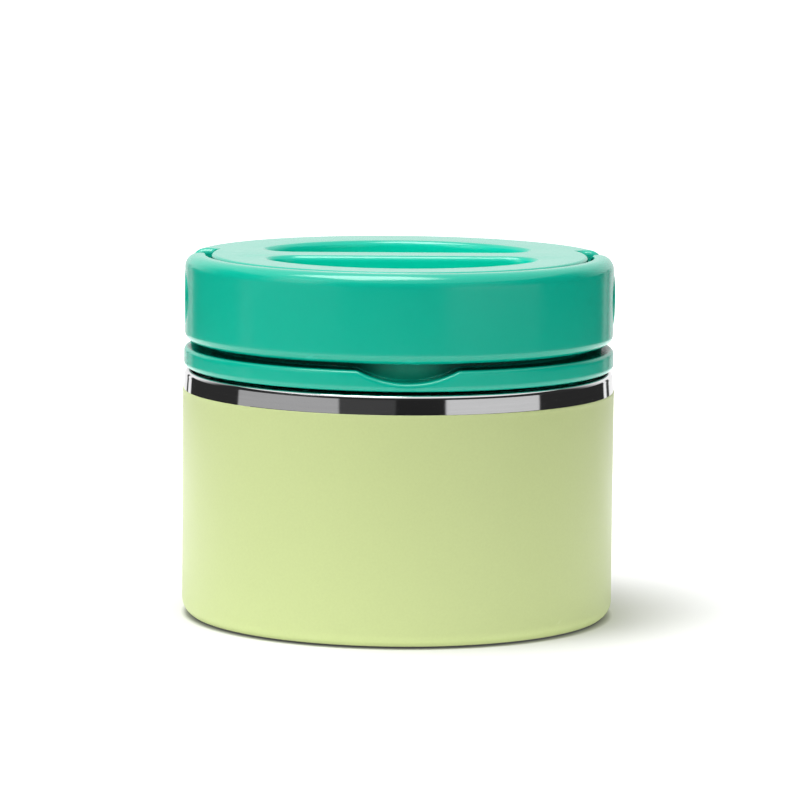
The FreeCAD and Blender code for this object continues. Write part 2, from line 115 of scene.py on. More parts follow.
# %% A profile with rounded corners
def rounded(corners, closed=True, steps=8, hold=0.15):
    """Points along a profile of corners (across, up, rounding). A corner's arc has its centre on the
    corner's bisector at rounding / sin(half angle), and runs between the two points that lie at
    rounding / tan(half angle) along the sides."""
    table = np.array(corners, float)
    spot, size = table[:, :2], table[:, 2:]
    before, after = np.roll(spot, 1, axis=0), np.roll(spot, -1, axis=0)
    if not closed:
        before[0] = 2 * spot[0] - after[0]
        after[-1] = 2 * spot[-1] - before[-1]
    back = (before - spot) / np.linalg.norm(before - spot, axis=1, keepdims=True)
    on = (after - spot) / np.linalg.norm(after - spot, axis=1, keepdims=True)
    half = np.arccos(np.clip((back * on).sum(axis=1, keepdims=True), -1, 1)) / 2
    reach = np.where(size > 0, size / np.tan(half), 0)
    start, end = spot + back * reach, spot + on * reach
    bisector = back + on
    length = np.linalg.norm(bisector, axis=1, keepdims=True)
    centre = spot + np.where(size > 0, bisector / np.maximum(length, 1e-9) * size / np.sin(half), 0)
    sweep = math.pi - 2 * half
    turn = np.linspace(0, 1, steps + 1)[None, :, None]
    weight = np.where(sweep > 1e-6, np.sin(sweep), 1)[:, None]
    arc = np.sin((1 - turn) * sweep[:, None]) * (start - centre)[:, None]
    arc = centre[:, None] + (arc + np.sin(turn * sweep[:, None]) * (end - centre)[:, None]) / weight
    arc = np.where((size > 0)[:, None], arc, spot[:, None])
    gap_on = np.linalg.norm(np.roll(start, -1, axis=0) - end, axis=1, keepdims=True)
    gap_back = np.roll(gap_on, 1, axis=0)
    held_back = start + back * np.minimum(hold, gap_back / 3)
    held_on = end + on * np.minimum(hold, gap_on / 3)
    points = np.concatenate([held_back[:, None], arc, held_on[:, None]], axis=1).reshape(-1, 2)
    if not closed:
        points = points[1:-1]
    fresh = np.linalg.norm(points - np.roll(points, 1, axis=0), axis=1) > 1e-5
    fresh[0] = True if not closed else fresh[0]
    return points[fresh]


square = rounded([(0, 0, 1), (9, 0, 1), (9, 9, 1), (0, 9, 1)])
print("a square with rounded corners has", len(square), "points")

# %% [markdown]
# ## From points to a mesh
# A piece is one or more patches, and a patch is a grid of points with rows and columns. The faces
# come from the grid's own numbering. Where patches meet, their points are the same, so merging the
# doubles closes the shell and turns each pole into a fan. The normals are set after that.

# %% Patches and pieces
def ring_faces(rows, columns, wrap_rows, wrap_columns):
    """The quads between neighbours on a grid. Wrapping joins the last row or column to the first."""
    index = np.arange(rows * columns).reshape(rows, columns)
    if wrap_rows:
        index = np.vstack([index, index[:1]])
    if wrap_columns:
        index = np.hstack([index, index[:, :1]])
    corners = [index[:-1, :-1], index[:-1, 1:], index[1:, 1:], index[1:, :-1]]
    return np.stack(corners, axis=-1).reshape(-1, 4)


def patch(points, wrap_rows=False, wrap_columns=False):
    """A grid of points, rows by columns by three, with its faces."""
    rows, columns = points.shape[:2]
    return points.reshape(-1, 3), ring_faces(rows, columns, wrap_rows, wrap_columns)


def make_piece(name, patches, body, replaced, slot, sharp=32):
    """One closed mesh from patches in millimetres, riding on a body in place of its CAD nodes."""
    mesh = bpy.data.meshes.new(name)
    offsets = np.cumsum([0] + [len(points) for points, _ in patches])
    points = np.concatenate([points for points, _ in patches]) * MM
    faces = []
    for (_, quads), offset in zip(patches, offsets):
        faces += (np.asarray(quads) + offset).tolist()
    mesh.from_pydata(points.tolist(), [], faces)
    work = bmesh.new()
    work.from_mesh(mesh)
    bmesh.ops.remove_doubles(work, verts=work.verts, dist=0.002 * MM)
    bmesh.ops.dissolve_degenerate(work, edges=work.edges, dist=0.001 * MM)
    bmesh.ops.delete(work, geom=[edge for edge in work.edges if not edge.link_faces], context="EDGES")
    bmesh.ops.recalc_face_normals(work, faces=work.faces)
    open_edges = sum(not edge.is_manifold for edge in work.edges)
    if work.calc_volume(signed=True) < 0:
        bmesh.ops.reverse_faces(work, faces=work.faces)
    work.to_mesh(mesh)
    work.free()
    mesh.shade_smooth()
    mesh.set_sharp_from_angle(angle=math.radians(sharp))
    piece = bpy.data.objects.new(name, mesh)
    bpy.context.scene.collection.objects.link(piece)
    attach(piece, body)
    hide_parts(*replaced)
    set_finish(piece, slot)
    triangles = sum(len(face.vertices) - 2 for face in mesh.polygons)
    print(name, "triangles", triangles, "open edges", open_edges)


def turned(profile, columns=288):
    """A profile of (radius, height) carried round the upright axis: x = radius cos, y = radius sin."""
    angle = np.linspace(0, 2 * math.pi, columns, endpoint=False)
    radius, height = profile[:, :1], profile[:, 1:]
    return np.stack([radius * np.cos(angle), radius * np.sin(angle), height + 0 * angle], axis=-1)


def smooth(value):
    """A step from 0 to 1 that starts and ends level: 3 v squared minus 2 v cubed."""
    value = np.clip(value, 0, 1)
    return value * value * (3 - 2 * value)

# %% [markdown]
# ## The coat
# The lime coat is sprayed over the steel, up to a masked line, where it ends in a low rounded bead.
# It follows the foot's rounding at its lower end. A turned profile gives both, with the inner side
# just under the steel's surface so that no gap shows.

# %% Powder coat
BODY_RADIUS = 54.0
COAT = 0.2
STEEL_RADIUS = BODY_RADIUS - COAT
FOOT_RADIUS = 46.9
BASE_ROUND = 4.0
COAT_BOTTOM = 0.5
PAINT_TOP = 56.85
BEAD_RISE = 0.03
BEAD_FROM, BEAD_FULL = 55.85, 56.25
COAT_LAP = 0.05


def foot_arc(radius, count=12):
    """Points on a circle about the foot rounding's centre, from the coat's lower end to level with the
    centre."""
    lowest = math.asin((COAT_BOTTOM - BASE_ROUND) / radius)
    angle = np.linspace(lowest, 0, count)
    across = STEEL_RADIUS - BASE_ROUND + radius * np.cos(angle)
    return np.stack([across, BASE_ROUND + radius * np.sin(angle)], axis=1)


coat_side = BODY_RADIUS - BEAD_RISE
coat_bead = rounded([
    (coat_side, 5.0, 0), (coat_side, BEAD_FROM, 0), (BODY_RADIUS, BEAD_FULL, 0.5),
    (BODY_RADIUS, PAINT_TOP, 0.15), (STEEL_RADIUS - COAT_LAP, PAINT_TOP, 0)], closed=False)
coat_foot = foot_arc(BASE_ROUND + COAT - BEAD_RISE)
coat_back = foot_arc(BASE_ROUND - COAT_LAP)[::-1]
coat_profile = np.concatenate([coat_foot, coat_bead, coat_back])
make_piece(
    "powder_coat_body", [patch(turned(coat_profile), True, True)], "jar", ["powder_coat"], "powder_coat")

# %% [markdown]
# ## The thread
# The neck's thread is rolled: two ridges that climb 8 mm a turn and fade at their ends. Seen as a
# function, the neck's radius depends on angle and height alone. The lid's thread is the same
# function pointing inwards, half a turn's climb away, so that the two mesh.

# %% Thread height over angle and height
THREAD_LEAD = 8.0
THREAD_STARTS = 2
THREAD_HEIGHT = 1.2
THREAD_HALF_ROOT = 0.95
THREAD_HALF_CREST = 0.5
THREAD_FADE = 0.03
THREAD_ROWS = 96
NECK_THREAD = {"start_height": 65.0, "turns": 0.85, "start_angle": 0.0}
LID_THREAD = {"start_height": 64.9, "turns": 0.5, "start_angle": math.radians(81)}


def thread(angle, height, start_height, turns, start_angle):
    """Height of the ridges, 0 to 1. A start's centre line is start height + lead * turns gone since its
    start. The ridge falls from crest to root with the distance from that line, and fades over the first
    and last 0.03 turns."""
    total = np.zeros(np.broadcast(angle, height).shape)
    for start in range(THREAD_STARTS):
        gone = ((angle - start_angle) / (2 * math.pi) - start / THREAD_STARTS) % 1.0
        away = np.abs(height - start_height - THREAD_LEAD * gone)
        side = smooth((THREAD_HALF_ROOT - away) / (THREAD_HALF_ROOT - THREAD_HALF_CREST))
        ends = smooth(gone / THREAD_FADE) * smooth((turns - gone) / THREAD_FADE)
        total = np.maximum(total, side * ends)
    return total


middle = np.array(NECK_THREAD["start_height"] + THREAD_LEAD / 2)
print("thread crest at its middle:", thread(np.array(math.pi), middle, **NECK_THREAD))

# %% [markdown]
# ## The steel shell
# The shell is one drawn sheet: foot, side, a shoulder that leans in by a third of a millimetre and
# rolls over, and the neck. Only the band above the coat is seen with the lid on. The whole sheet is
# modelled with its thickness, because the neck and shoulder show when the lid is off.

# %% Steel shell
SHELL_WALL = 0.6
SHOULDER_TOP = 61.75
SHOULDER_RADIUS = 53.45
NECK_RADIUS = 42.2
NECK_FOOT = 63.8
NECK_TOP = 74.0
NECK_COLUMNS = 360


def moved(corners, distance):
    """A profile's corners moved sideways, to the left of its direction: each goes along its mitre, and an
    outer rounding grows by the distance while an inner one shrinks."""
    table = np.array(corners, float)
    step = np.diff(table[:, :2], axis=0)
    step /= np.linalg.norm(step, axis=1, keepdims=True)
    before, after = np.vstack([step[:1], step]), np.vstack([step, step[-1:]])
    left_before = np.stack([-before[:, 1], before[:, 0]], axis=1)
    left_after = np.stack([-after[:, 1], after[:, 0]], axis=1)
    alike = (left_before * left_after).sum(axis=1, keepdims=True)
    mitre = (left_before + left_after) * distance / (1 + alike)
    turn = before[:, 0] * after[:, 1] - before[:, 1] * after[:, 0]
    rounding = np.where(table[:, 2] > 0, table[:, 2] - distance * np.sign(turn), 0)
    return np.column_stack([table[:, :2] + mitre, rounding])


shell_path = [
    (FOOT_RADIUS, 0, 0), (STEEL_RADIUS, 0, BASE_ROUND), (STEEL_RADIUS, PAINT_TOP, 0),
    (SHOULDER_RADIUS, SHOULDER_TOP, 1.4), (NECK_RADIUS, SHOULDER_TOP, 1.2), (NECK_RADIUS, NECK_FOOT, 0)]
shell_inside = moved(shell_path[:-1] + [(NECK_RADIUS, NECK_TOP, 0)], SHELL_WALL)
neck_heights = np.linspace(NECK_FOOT + 0.1, NECK_TOP, THREAD_ROWS)
neck_rows = np.stack([np.full(THREAD_ROWS, NECK_RADIUS), neck_heights], axis=1)
shell_profile = np.concatenate([
    rounded(shell_path, closed=False), neck_rows, rounded(shell_inside, closed=False)[::-1]])
shell_points = turned(shell_profile, NECK_COLUMNS)
shell_angle = np.arctan2(shell_points[..., 1], shell_points[..., 0])
on_neck = np.abs(shell_profile[:, 0] - NECK_RADIUS) < 0.01
ridge = thread(shell_angle, shell_points[..., 2], **NECK_THREAD) * on_neck[:, None] * THREAD_HEIGHT
shell_points[..., :2] *= (1 + ridge / NECK_RADIUS)[..., None]
make_piece("steel_shell", [patch(shell_points, True, True)], "jar", ["outer_shell"], "polished_steel")

# %% [markdown]
# ## Liner, base and pad
# The liner is the vessel that holds the food. It has a deep rounded floor, and its lip folds over
# the neck. The base disc closes the foot, and a rubber pad with moulded rings covers it. All of
# them are turned sheets, so the same two helpers make them.

# %% Liner, base disc and pad
LINER_WALL = 0.5
LINER_RADIUS = 50.2
LINER_FLOOR = 8.0
CAVITY_SHOULDER = 56.25
MOUTH_ROOT = 59.65
MOUTH_RADIUS = 40.5
BRIM = 74.5
liner_path = [
    (0, LINER_FLOOR, 0), (LINER_RADIUS, LINER_FLOOR, 9.0), (LINER_RADIUS, CAVITY_SHOULDER, 5.0),
    (MOUTH_RADIUS, MOUTH_ROOT, 3.0), (MOUTH_RADIUS, BRIM, 0.6), (NECK_RADIUS, BRIM, 0)]
liner_outside = moved(liner_path, -LINER_WALL)
liner_lip = [(NECK_RADIUS, BRIM, 0.3), (NECK_RADIUS, NECK_TOP, 0)]
liner_profile = np.concatenate([
    rounded(liner_path[:-1] + liner_lip, closed=False), rounded(liner_outside[:-1], closed=False)[::-1]])
make_piece("steel_liner", [patch(turned(liner_profile), False, True)], "jar", ["inner_liner"], "brushed_liner")

DISC_RADIUS = 46.3
RECESS_TOP = 2.4
base_path = [(DISC_RADIUS, 0.0, 0), (DISC_RADIUS, RECESS_TOP, 0.6), (0, RECESS_TOP, 0)]
base_profile = np.concatenate([
    rounded(base_path, closed=False), rounded(moved(base_path, -SHELL_WALL), closed=False)[::-1]])
make_piece("base_disc", [patch(turned(base_profile), True, True)], "jar", ["outer_base"], "brushed_liner")

PAD_RADIUS = 45.5
PAD_FACE = 0.9
PAD_GROOVES = (40.0, 31.0, 22.0, 13.0)
GROOVE_TOP = 1.2
DIMPLE_TOP = 1.15
pad_corners = [(0, RECESS_TOP, 0), (PAD_RADIUS, RECESS_TOP, 0.1), (PAD_RADIUS, PAD_FACE, 0.5)]
for groove in PAD_GROOVES:
    pad_corners += [(groove + 0.9, PAD_FACE, 0.15), (groove + 0.5, GROOVE_TOP, 0.15),
                    (groove - 0.5, GROOVE_TOP, 0.15), (groove - 0.9, PAD_FACE, 0.15)]
pad_corners += [(5.0, PAD_FACE, 0.2), (4.4, DIMPLE_TOP, 0.2), (0, DIMPLE_TOP, 0)]
pad_profile = rounded(pad_corners, closed=False, steps=4)
make_piece("foot_pad", [patch(turned(pad_profile), False, True)], "jar", ["base_pad"], "pad")

# %% [markdown]
# ## Seal and carrier
# The silicone ring sits above the brim. The carrier is the pale moulding inside the lid: a shallow
# plug that dips into the mouth, and a skirt that holds the lid's thread. It is one turned profile
# whose inner skirt is pushed inwards by the thread function.

# %% Gasket and seal carrier
SKIRT_INNER = 43.7
SKIRT_OUTER = 45.2
SKIRT_BOTTOM = 63.6
GASKET_INNER, GASKET_OUTER = 40.0, 43.3
SEAT = 76.0
PLUG_RADIUS = 39.7
PLUG_BOTTOM = 69.6
HOLLOW_RADIUS = 37.9
HOLLOW_FLOOR = 71.4
CARRIER_TOP = 77.78
gasket_profile = rounded([
    (GASKET_INNER, BRIM, 0.4), (GASKET_OUTER, BRIM, 0.4), (GASKET_OUTER, 75.0, 0.1), (43.0, 75.25, 0.15),
    (GASKET_OUTER, 75.5, 0.1), (GASKET_OUTER, SEAT, 0.3), (GASKET_INNER, SEAT, 0.3)], steps=5)
make_piece("seal_ring", [patch(turned(gasket_profile), True, True)], "lid_seal", ["gasket"], "silicone")

skirt_rows = np.stack([np.full(THREAD_ROWS, SKIRT_INNER), np.linspace(75.2, 64.1, THREAD_ROWS)], axis=1)
plug_side = rounded([
    (0, 70.1, 0), (30.0, 70.1, 1.0), (31.5, PLUG_BOTTOM, 0.8), (PLUG_RADIUS, PLUG_BOTTOM, 2.0),
    (PLUG_RADIUS, SEAT, 0.3), (SKIRT_INNER, SEAT, 0.5), (SKIRT_INNER, 75.3, 0)], closed=False)
skirt_side = rounded([
    (SKIRT_INNER, 64.0, 0), (SKIRT_INNER, SKIRT_BOTTOM, 0.3), (SKIRT_OUTER, SKIRT_BOTTOM, 0.3),
    (SKIRT_OUTER, CARRIER_TOP, 0), (HOLLOW_RADIUS, CARRIER_TOP, 0), (HOLLOW_RADIUS, HOLLOW_FLOOR, 1.1),
    (0, HOLLOW_FLOOR, 0)], closed=False)
carrier_profile = np.concatenate([plug_side, skirt_rows, skirt_side])
carrier_points = turned(carrier_profile, NECK_COLUMNS)
carrier_angle = np.arctan2(carrier_points[..., 1], carrier_points[..., 0])
on_skirt = np.abs(carrier_profile[:, 0] - SKIRT_INNER) < 0.01
lid_ridge = thread(carrier_angle, carrier_points[..., 2], **LID_THREAD) * on_skirt[:, None]
carrier_points[..., :2] *= (1 - lid_ridge * THREAD_HEIGHT / SKIRT_INNER)[..., None]
make_piece(
    "plug_and_skirt", [patch(carrier_points, False, True)], "lid", ["seal_carrier"], "carrier_plastic")

# %% [markdown]
# ## The lid: two profiles and a wall between them
# In front the lid is a low flange with a recessed core, which leaves room for the handle. Behind,
# it rises to full height. So there are two profiles with the same number of points. The end wall
# between them is ruled: each point of the front profile is joined to its partner at the back.

# %% Lid profiles, front and back
TOP = 90.5
CORE_RADIUS = 47.0
SIDE_RADIUS = 53.5
FLANGE_RADIUS = 53.7
FLANGE_BOTTOM = 62.35
FLANGE_TOP = 67.4
FLANGE_TOP_ROUND = 1.1
FLANGE_LOW_ROUND = 1.2
CHANNEL_RADIUS = 51.9
CHANNEL_TOP = 65.6
INNER_RADIUS = 45.25
CEILING = 77.8
CORE_ROUND = 1.0
CORE_FILLET = 0.5
LAND_START, LAND_MIDDLE = 45.0, 47.6
WALL_Y = 11.6
WALL_ROUND = 1.6
TOP_ROUND = 3.3
SIDE_FOOT, SIDE_FOOT_TURN = 66.932, 35.1


def line(start, end, count):
    """Points from start up to, but without, end."""
    share = np.linspace(0, 1, count, endpoint=False)[:, None]
    return np.array(start, float) * (1 - share) + np.array(end, float) * share


def arc(centre, radius, first, last, count):
    """Points on a circle, by angle in degrees, up to but without the last."""
    angle = np.radians(np.linspace(first, last, count, endpoint=False))[:, None]
    return np.array(centre, float) + radius * np.hstack([np.cos(angle), np.sin(angle)])


core_edge = (CORE_RADIUS - CORE_ROUND, TOP - CORE_ROUND)
core_foot = (CORE_RADIUS + CORE_FILLET, FLANGE_TOP + CORE_FILLET)
side_edge = (SIDE_RADIUS - TOP_ROUND, TOP - TOP_ROUND)
flange_edge = (FLANGE_RADIUS - FLANGE_TOP_ROUND, FLANGE_TOP - FLANGE_TOP_ROUND)
flange_foot = (FLANGE_RADIUS - FLANGE_LOW_ROUND, FLANGE_BOTTOM + FLANGE_LOW_ROUND)
lid_under = np.concatenate([
    line((FLANGE_RADIUS, flange_edge[1]), (FLANGE_RADIUS, flange_foot[1]), 8),
    arc(flange_foot, FLANGE_LOW_ROUND, 0, -90, 6),
    line((flange_foot[0], FLANGE_BOTTOM), (CHANNEL_RADIUS, FLANGE_BOTTOM), 2),
    line((CHANNEL_RADIUS, FLANGE_BOTTOM), (CHANNEL_RADIUS, CHANNEL_TOP), 5),
    line((CHANNEL_RADIUS, CHANNEL_TOP), (CORE_RADIUS, CHANNEL_TOP), 6),
    line((CORE_RADIUS, CHANNEL_TOP), (CORE_RADIUS, FLANGE_BOTTOM), 5),
    line((CORE_RADIUS, FLANGE_BOTTOM), (INNER_RADIUS, FLANGE_BOTTOM), 3),
    line((INNER_RADIUS, FLANGE_BOTTOM), (INNER_RADIUS, CEILING), 3),
    [(INNER_RADIUS, CEILING), (0, CEILING)]])
front_profile = np.concatenate([
    line((LAND_START, TOP), (core_edge[0], TOP), 3), arc(core_edge, CORE_ROUND, 90, 0, 8),
    line((CORE_RADIUS, core_edge[1]), (CORE_RADIUS, core_foot[1]), 14),
    arc(core_foot, CORE_FILLET, 180, 270, 6),
    line((core_foot[0], FLANGE_TOP), (flange_edge[0], FLANGE_TOP), 20),
    arc(flange_edge, FLANGE_TOP_ROUND, 90, 0, 8), lid_under])
back_profile = np.concatenate([
    line((LAND_START, TOP), (core_edge[0], TOP), 3), line((core_edge[0], TOP), (LAND_MIDDLE, TOP), 8),
    line((LAND_MIDDLE, TOP), (side_edge[0], TOP), 6), arc(side_edge, TOP_ROUND, 90, 45, 8),
    arc(side_edge, TOP_ROUND, 45, 0, 6), line((SIDE_RADIUS, side_edge[1]), (SIDE_RADIUS, SIDE_FOOT), 20),
    arc(flange_edge, FLANGE_TOP_ROUND, SIDE_FOOT_TURN, 0, 8), lid_under])
facing = np.radians(np.concatenate([
    np.full(17, 90.0), np.linspace(90, 0, 14, endpoint=False), np.zeros(28 + len(lid_under))]))
print("rows in the lid's profile:", len(front_profile), len(back_profile), len(facing))

# %% [markdown]
# ## The finger scoop
# The scoop is a shallow round bite out of the flange. It is a drop that depends on x alone: the
# depth of a circle below the flange's top, with a soft start at each end. Each row of the profile
# takes its share of the drop, all of it on the flange's top and none at its lower edge.

# %% Scoop drop and its share in each row
SCOOP_RADIUS = 26.5
SCOOP_DEPTH = 3.0
SCOOP_SOFT = 0.2


def soft_positive(value, soft):
    """Zero below zero and the value above, with a soft corner: (v + sqrt(v * v + s * s)) / 2."""
    return (value + np.sqrt(value * value + soft * soft)) / 2


def scoop_drop(x):
    """How far the flange's top lies lower at x: the circle's depth there, never below zero."""
    near = np.clip(np.abs(x), 0, SCOOP_RADIUS)
    return soft_positive(SCOOP_DEPTH - SCOOP_RADIUS + np.sqrt(SCOOP_RADIUS ** 2 - near ** 2), SCOOP_SOFT)


outside_rows = len(front_profile) - len(lid_under)
top_share = np.concatenate([
    np.zeros(11), np.linspace(0, 1, 14, endpoint=False), np.ones(34), np.linspace(1, 0, 8, endpoint=False),
    np.zeros(len(lid_under) - 8)])
channel_share = np.zeros(len(front_profile))
channel_start = outside_rows + 8 + 6 + 2
channel_share[channel_start:channel_start + 16] = np.concatenate([
    np.linspace(0, 1, 5, endpoint=False), np.ones(6), np.linspace(1, 0, 5, endpoint=False)])
print("deepest drop", round(float(scoop_drop(np.zeros(1))[0]), 2), "mm")

# %% [markdown]
# ## Columns of the lid
# A column stands at each angle. Near the end wall the columns keep to a constant y, because the
# wall is flat, and they fan out from there to the front and to the back. The wall's outer edge has
# a quarter-round that fades where the two profiles come together.

# %% Lid grid
DENSE_SHARE = 0.17
DENSE_COLUMNS = 56
FRONT_COLUMNS = 70
BACK_COLUMNS = 75
LEAST_RADIUS = 20.0
CHANNEL_ROOM = 0.6


def lid_half():
    """The lid's outside on the right. Front columns fan from the front to the end wall, which joins the
    front profile to the back one along straight lines. Its quarter-round turns about a centre 1.6 mm
    inside, and the back columns fan out to the middle of the back. A point at radius r and depth y has
    x = sqrt(r * r - y * y)."""
    radius, height = front_profile[:, :1], front_profile[:, 1:]
    dense = np.linspace(0, DENSE_SHARE, DENSE_COLUMNS, endpoint=False)
    share = np.concatenate([dense, np.linspace(DENSE_SHARE, 1, FRONT_COLUMNS)])[None]
    wall_angle = np.arcsin(np.clip(WALL_Y / np.maximum(radius, LEAST_RADIUS), -1, 1))
    angle = -math.pi / 2 + share * (wall_angle + math.pi / 2)
    x, y = radius * np.cos(angle), radius * np.sin(angle)
    in_front = (y < 0) & (radius > 40)
    drop = scoop_drop(x) * in_front
    block = soft_positive(drop - CHANNEL_ROOM, 0.1) * in_front
    lowered = height - top_share[:, None] * drop - channel_share[:, None] * block
    front = np.stack([x, y, lowered], axis=-1)

    gap = np.linalg.norm(front_profile - back_profile, axis=1, keepdims=True)
    rounding = np.minimum(WALL_ROUND, 0.5 * gap)
    inwards = -np.stack([np.cos(facing), np.sin(facing)], axis=1)
    wall_columns = []
    for part in (1 / 3, 2 / 3):
        place = front_profile * (1 - part) + (back_profile + inwards * rounding) * part
        wall_columns.append(np.column_stack([place[:, 0], np.full(len(place), WALL_Y), place[:, 1]]))
    for turn in np.linspace(0, math.pi / 2, 8):
        place = back_profile + inwards * rounding * (1 - math.sin(turn))
        depth = WALL_Y + rounding[:, 0] * (1 - math.cos(turn))
        wall_columns.append(np.column_stack([place[:, 0], depth, place[:, 1]]))
    wall = np.stack(wall_columns, axis=1)
    wall[..., 0] = np.sqrt(np.maximum(wall[..., 0] ** 2 - wall[..., 1] ** 2, 0))
    wall[-1, :, :2] = 0

    radius, height = back_profile[:, :1], back_profile[:, 1:]
    start = np.arcsin(np.clip((WALL_Y + rounding) / np.maximum(radius, LEAST_RADIUS), -1, 1))
    share = np.linspace(0, 1, BACK_COLUMNS + 1)[None, 1:]
    angle = start + share * (math.pi / 2 - start)
    back = np.stack([radius * np.cos(angle), radius * np.sin(angle), height + 0 * angle], axis=-1)
    return np.concatenate([front, wall, back], axis=1)


right_half = lid_half()
left_half = right_half[:, -2:0:-1] * np.array([-1.0, 1.0, 1.0])
lid_grid = np.concatenate([right_half, left_half], axis=1)
print("lid grid", lid_grid.shape, "top of the scoop", round(lid_grid[40, 0, 2], 2))

# %% [markdown]
# ## The dish
# The round dish is split by the grip bar into two half-moons with soft corners. Each pocket is its
# outline, moved inwards row by row: over the rounded rim, down the wall, round the foot and across
# the floor. The flat top between the rim and the pockets is filled with triangles.

# %% Dish pockets and the flat top
DISH_RADIUS = 35.9
DISH_FLOOR = 79.5
BAR_HALF = 5.55
RIM_ROUND = 1.5
FLOOR_ROUND = 3.5
TIP_ROUND = 7.5
HOLD = 0.2
FLOOR_INSETS = (3.7, 12.0)
OUTLINE_COUNTS = (48, 20, 110)


def half_moon(inset, height, side):
    """A half-moon outline per row: a straight side at the bar's half width + inset, a round side about the
    axis at the dish's radius - inset, and between them corner circles that touch both. Side is 1 behind
    the bar and -1 in front."""
    inset, height = np.array(inset, float)[:, None], np.array(height, float)[:, None]
    corner = np.maximum(TIP_ROUND - inset, 0.05)
    outer = DISH_RADIUS - inset
    straight = BAR_HALF + inset
    centre_y = straight + corner
    centre_x = np.sqrt((outer - corner) ** 2 - centre_y ** 2)
    tip = np.arctan2(centre_y, centre_x)
    along, around, sweep = [np.linspace(0, 1, count, endpoint=False)[None] for count in OUTLINE_COUNTS]
    right = -math.pi / 2 + around * (tip + math.pi / 2)
    far = tip + sweep * (math.pi - 2 * tip)
    left = math.pi - tip + around * (tip + math.pi / 2)
    x = np.hstack([centre_x * (2 * along - 1), centre_x + corner * np.cos(right), outer * np.cos(far),
                   -centre_x + corner * np.cos(left)])
    y = np.hstack([straight + 0 * along, centre_y + corner * np.sin(right), outer * np.sin(far),
                   centre_y + corner * np.sin(left)])
    return np.stack([x, side * y, height + 0 * x], axis=-1)


turn = np.linspace(0, math.pi / 2, 10)
pocket_inset = np.concatenate([
    RIM_ROUND * (np.sin(turn) - 1), [0, 0], FLOOR_ROUND * (1 - np.cos(turn)), FLOOR_INSETS])
pocket_height = np.concatenate([
    TOP - RIM_ROUND * (1 - np.cos(turn)), [TOP - RIM_ROUND - HOLD, DISH_FLOOR + FLOOR_ROUND + HOLD],
    DISH_FLOOR + FLOOR_ROUND * (1 - np.sin(turn)), [DISH_FLOOR, DISH_FLOOR]])
pockets = []
for side in (1, -1):
    pocket = half_moon(pocket_inset, pocket_height, side)
    centre = np.broadcast_to(pocket[-1].mean(axis=0), pocket[-1:].shape)
    pockets.append(np.concatenate([pocket, centre]))

rim = lid_grid[0]
rim = rim[np.linalg.norm(rim - np.roll(rim, 1, axis=0), axis=1) > 1e-4]
loops = [rim, pockets[0][0], pockets[1][0]]
top_triangles = tessellate_polygon([[Vector(point) for point in loop] for loop in loops])
lid_top = (np.concatenate(loops), np.array(top_triangles))
print("pocket grid", pockets[0].shape, "top triangles", len(top_triangles))

# %% [markdown]
# ## Small raised forms
# The catch ridge on the core, the lug and the two ribs under the band are small bars that follow
# the ring. A superellipse gives a box with soft edges. The pivot bosses and caps are discs turned
# about the handle's own axis, which lies along X.

# %% Soft bars and discs about the pivot axis
PIVOT_Z = 79.7
BOSS_RADIUS = 6.0
BOSS_FROM, BOSS_TO = 45.5, 47.5
CATCH_RIDGE = ((-2.8, 2.8), (46.5, 47.5), (71.3, 72.1))
END_POWER = 0.25
EDGE_POWER = 0.4


def power(value, exponent):
    """The value's size raised to a power, with its sign kept."""
    return np.sign(value) * np.abs(value) ** exponent


def soft_bar(x_range, radius_range, height_range):
    """A bar that follows the ring in front: a superellipse across, ending in soft faces at both sides. The
    point at radius r and side x has y = -sqrt(r * r - x * x)."""
    (x_low, x_high), (r_low, r_high), (z_low, z_high) = x_range, radius_range, height_range
    across = np.linspace(-math.pi / 2, math.pi / 2, 25)[:, None]
    around = np.linspace(0, 2 * math.pi, 32, endpoint=False)[None]
    size = power(np.cos(across), END_POWER)
    x = (x_low + x_high) / 2 + (x_high - x_low) / 2 * power(np.sin(across), END_POWER) + 0 * around
    radius = (r_low + r_high) / 2 + (r_high - r_low) / 2 * size * power(np.cos(around), EDGE_POWER)
    height = (z_low + z_high) / 2 + (z_high - z_low) / 2 * size * power(np.sin(around), EDGE_POWER)
    return patch(np.stack([x, -np.sqrt(radius ** 2 - x ** 2), height], axis=-1), False, True)


def pivot_turned(profile, side, columns=96):
    """A profile of (distance out, radius) carried round the pivot axis on one side."""
    angle = np.linspace(0, 2 * math.pi, columns, endpoint=False)
    out, radius = profile[:, :1], profile[:, 1:]
    height = PIVOT_Z + radius * np.sin(angle)
    return patch(np.stack([side * out + 0 * angle, radius * np.cos(angle), height], axis=-1), False, True)


boss = rounded([
    (BOSS_FROM, 0, 0), (BOSS_FROM, BOSS_RADIUS, 0), (BOSS_TO, BOSS_RADIUS, 0.3),
    (BOSS_TO, 0, 0)], closed=False)
lid_patches = [patch(lid_grid, False, True), lid_top]
lid_patches += [patch(pocket, False, True) for pocket in pockets]
lid_patches += [soft_bar(*CATCH_RIDGE)]
lid_patches += [pivot_turned(boss, side) for side in (-1, 1)]
make_piece("lid_body", lid_patches, "lid", ["lid_shell"], "lid_plastic")

# %% [markdown]
# ## The carry handle
# The handle is a band bent round the front half, ending in round ears on the pivots. Its section
# has a large rounding on the outer upper edge and small ones elsewhere. The band carries the
# section round the front, and each ear turns the same half-section about the pivot like a fan.

# %% Handle band
BAND_INNER = 48.4
BAND_HALF = 10.8
BAND_LOWER_ROUND = 2.2
BAND_INNER_ROUND = 0.8
SECTION_ROWS = 12
CATCH_LUG = ((-2.8, 2.8), (47.8, 49.2), (68.9, 70.5))
RIB_PLACES = (-2.4, 2.4)
RIB_HALF = 0.4
RIB_RADII, RIB_HEIGHTS = (48.45, 50.4), (68.55, 69.7)


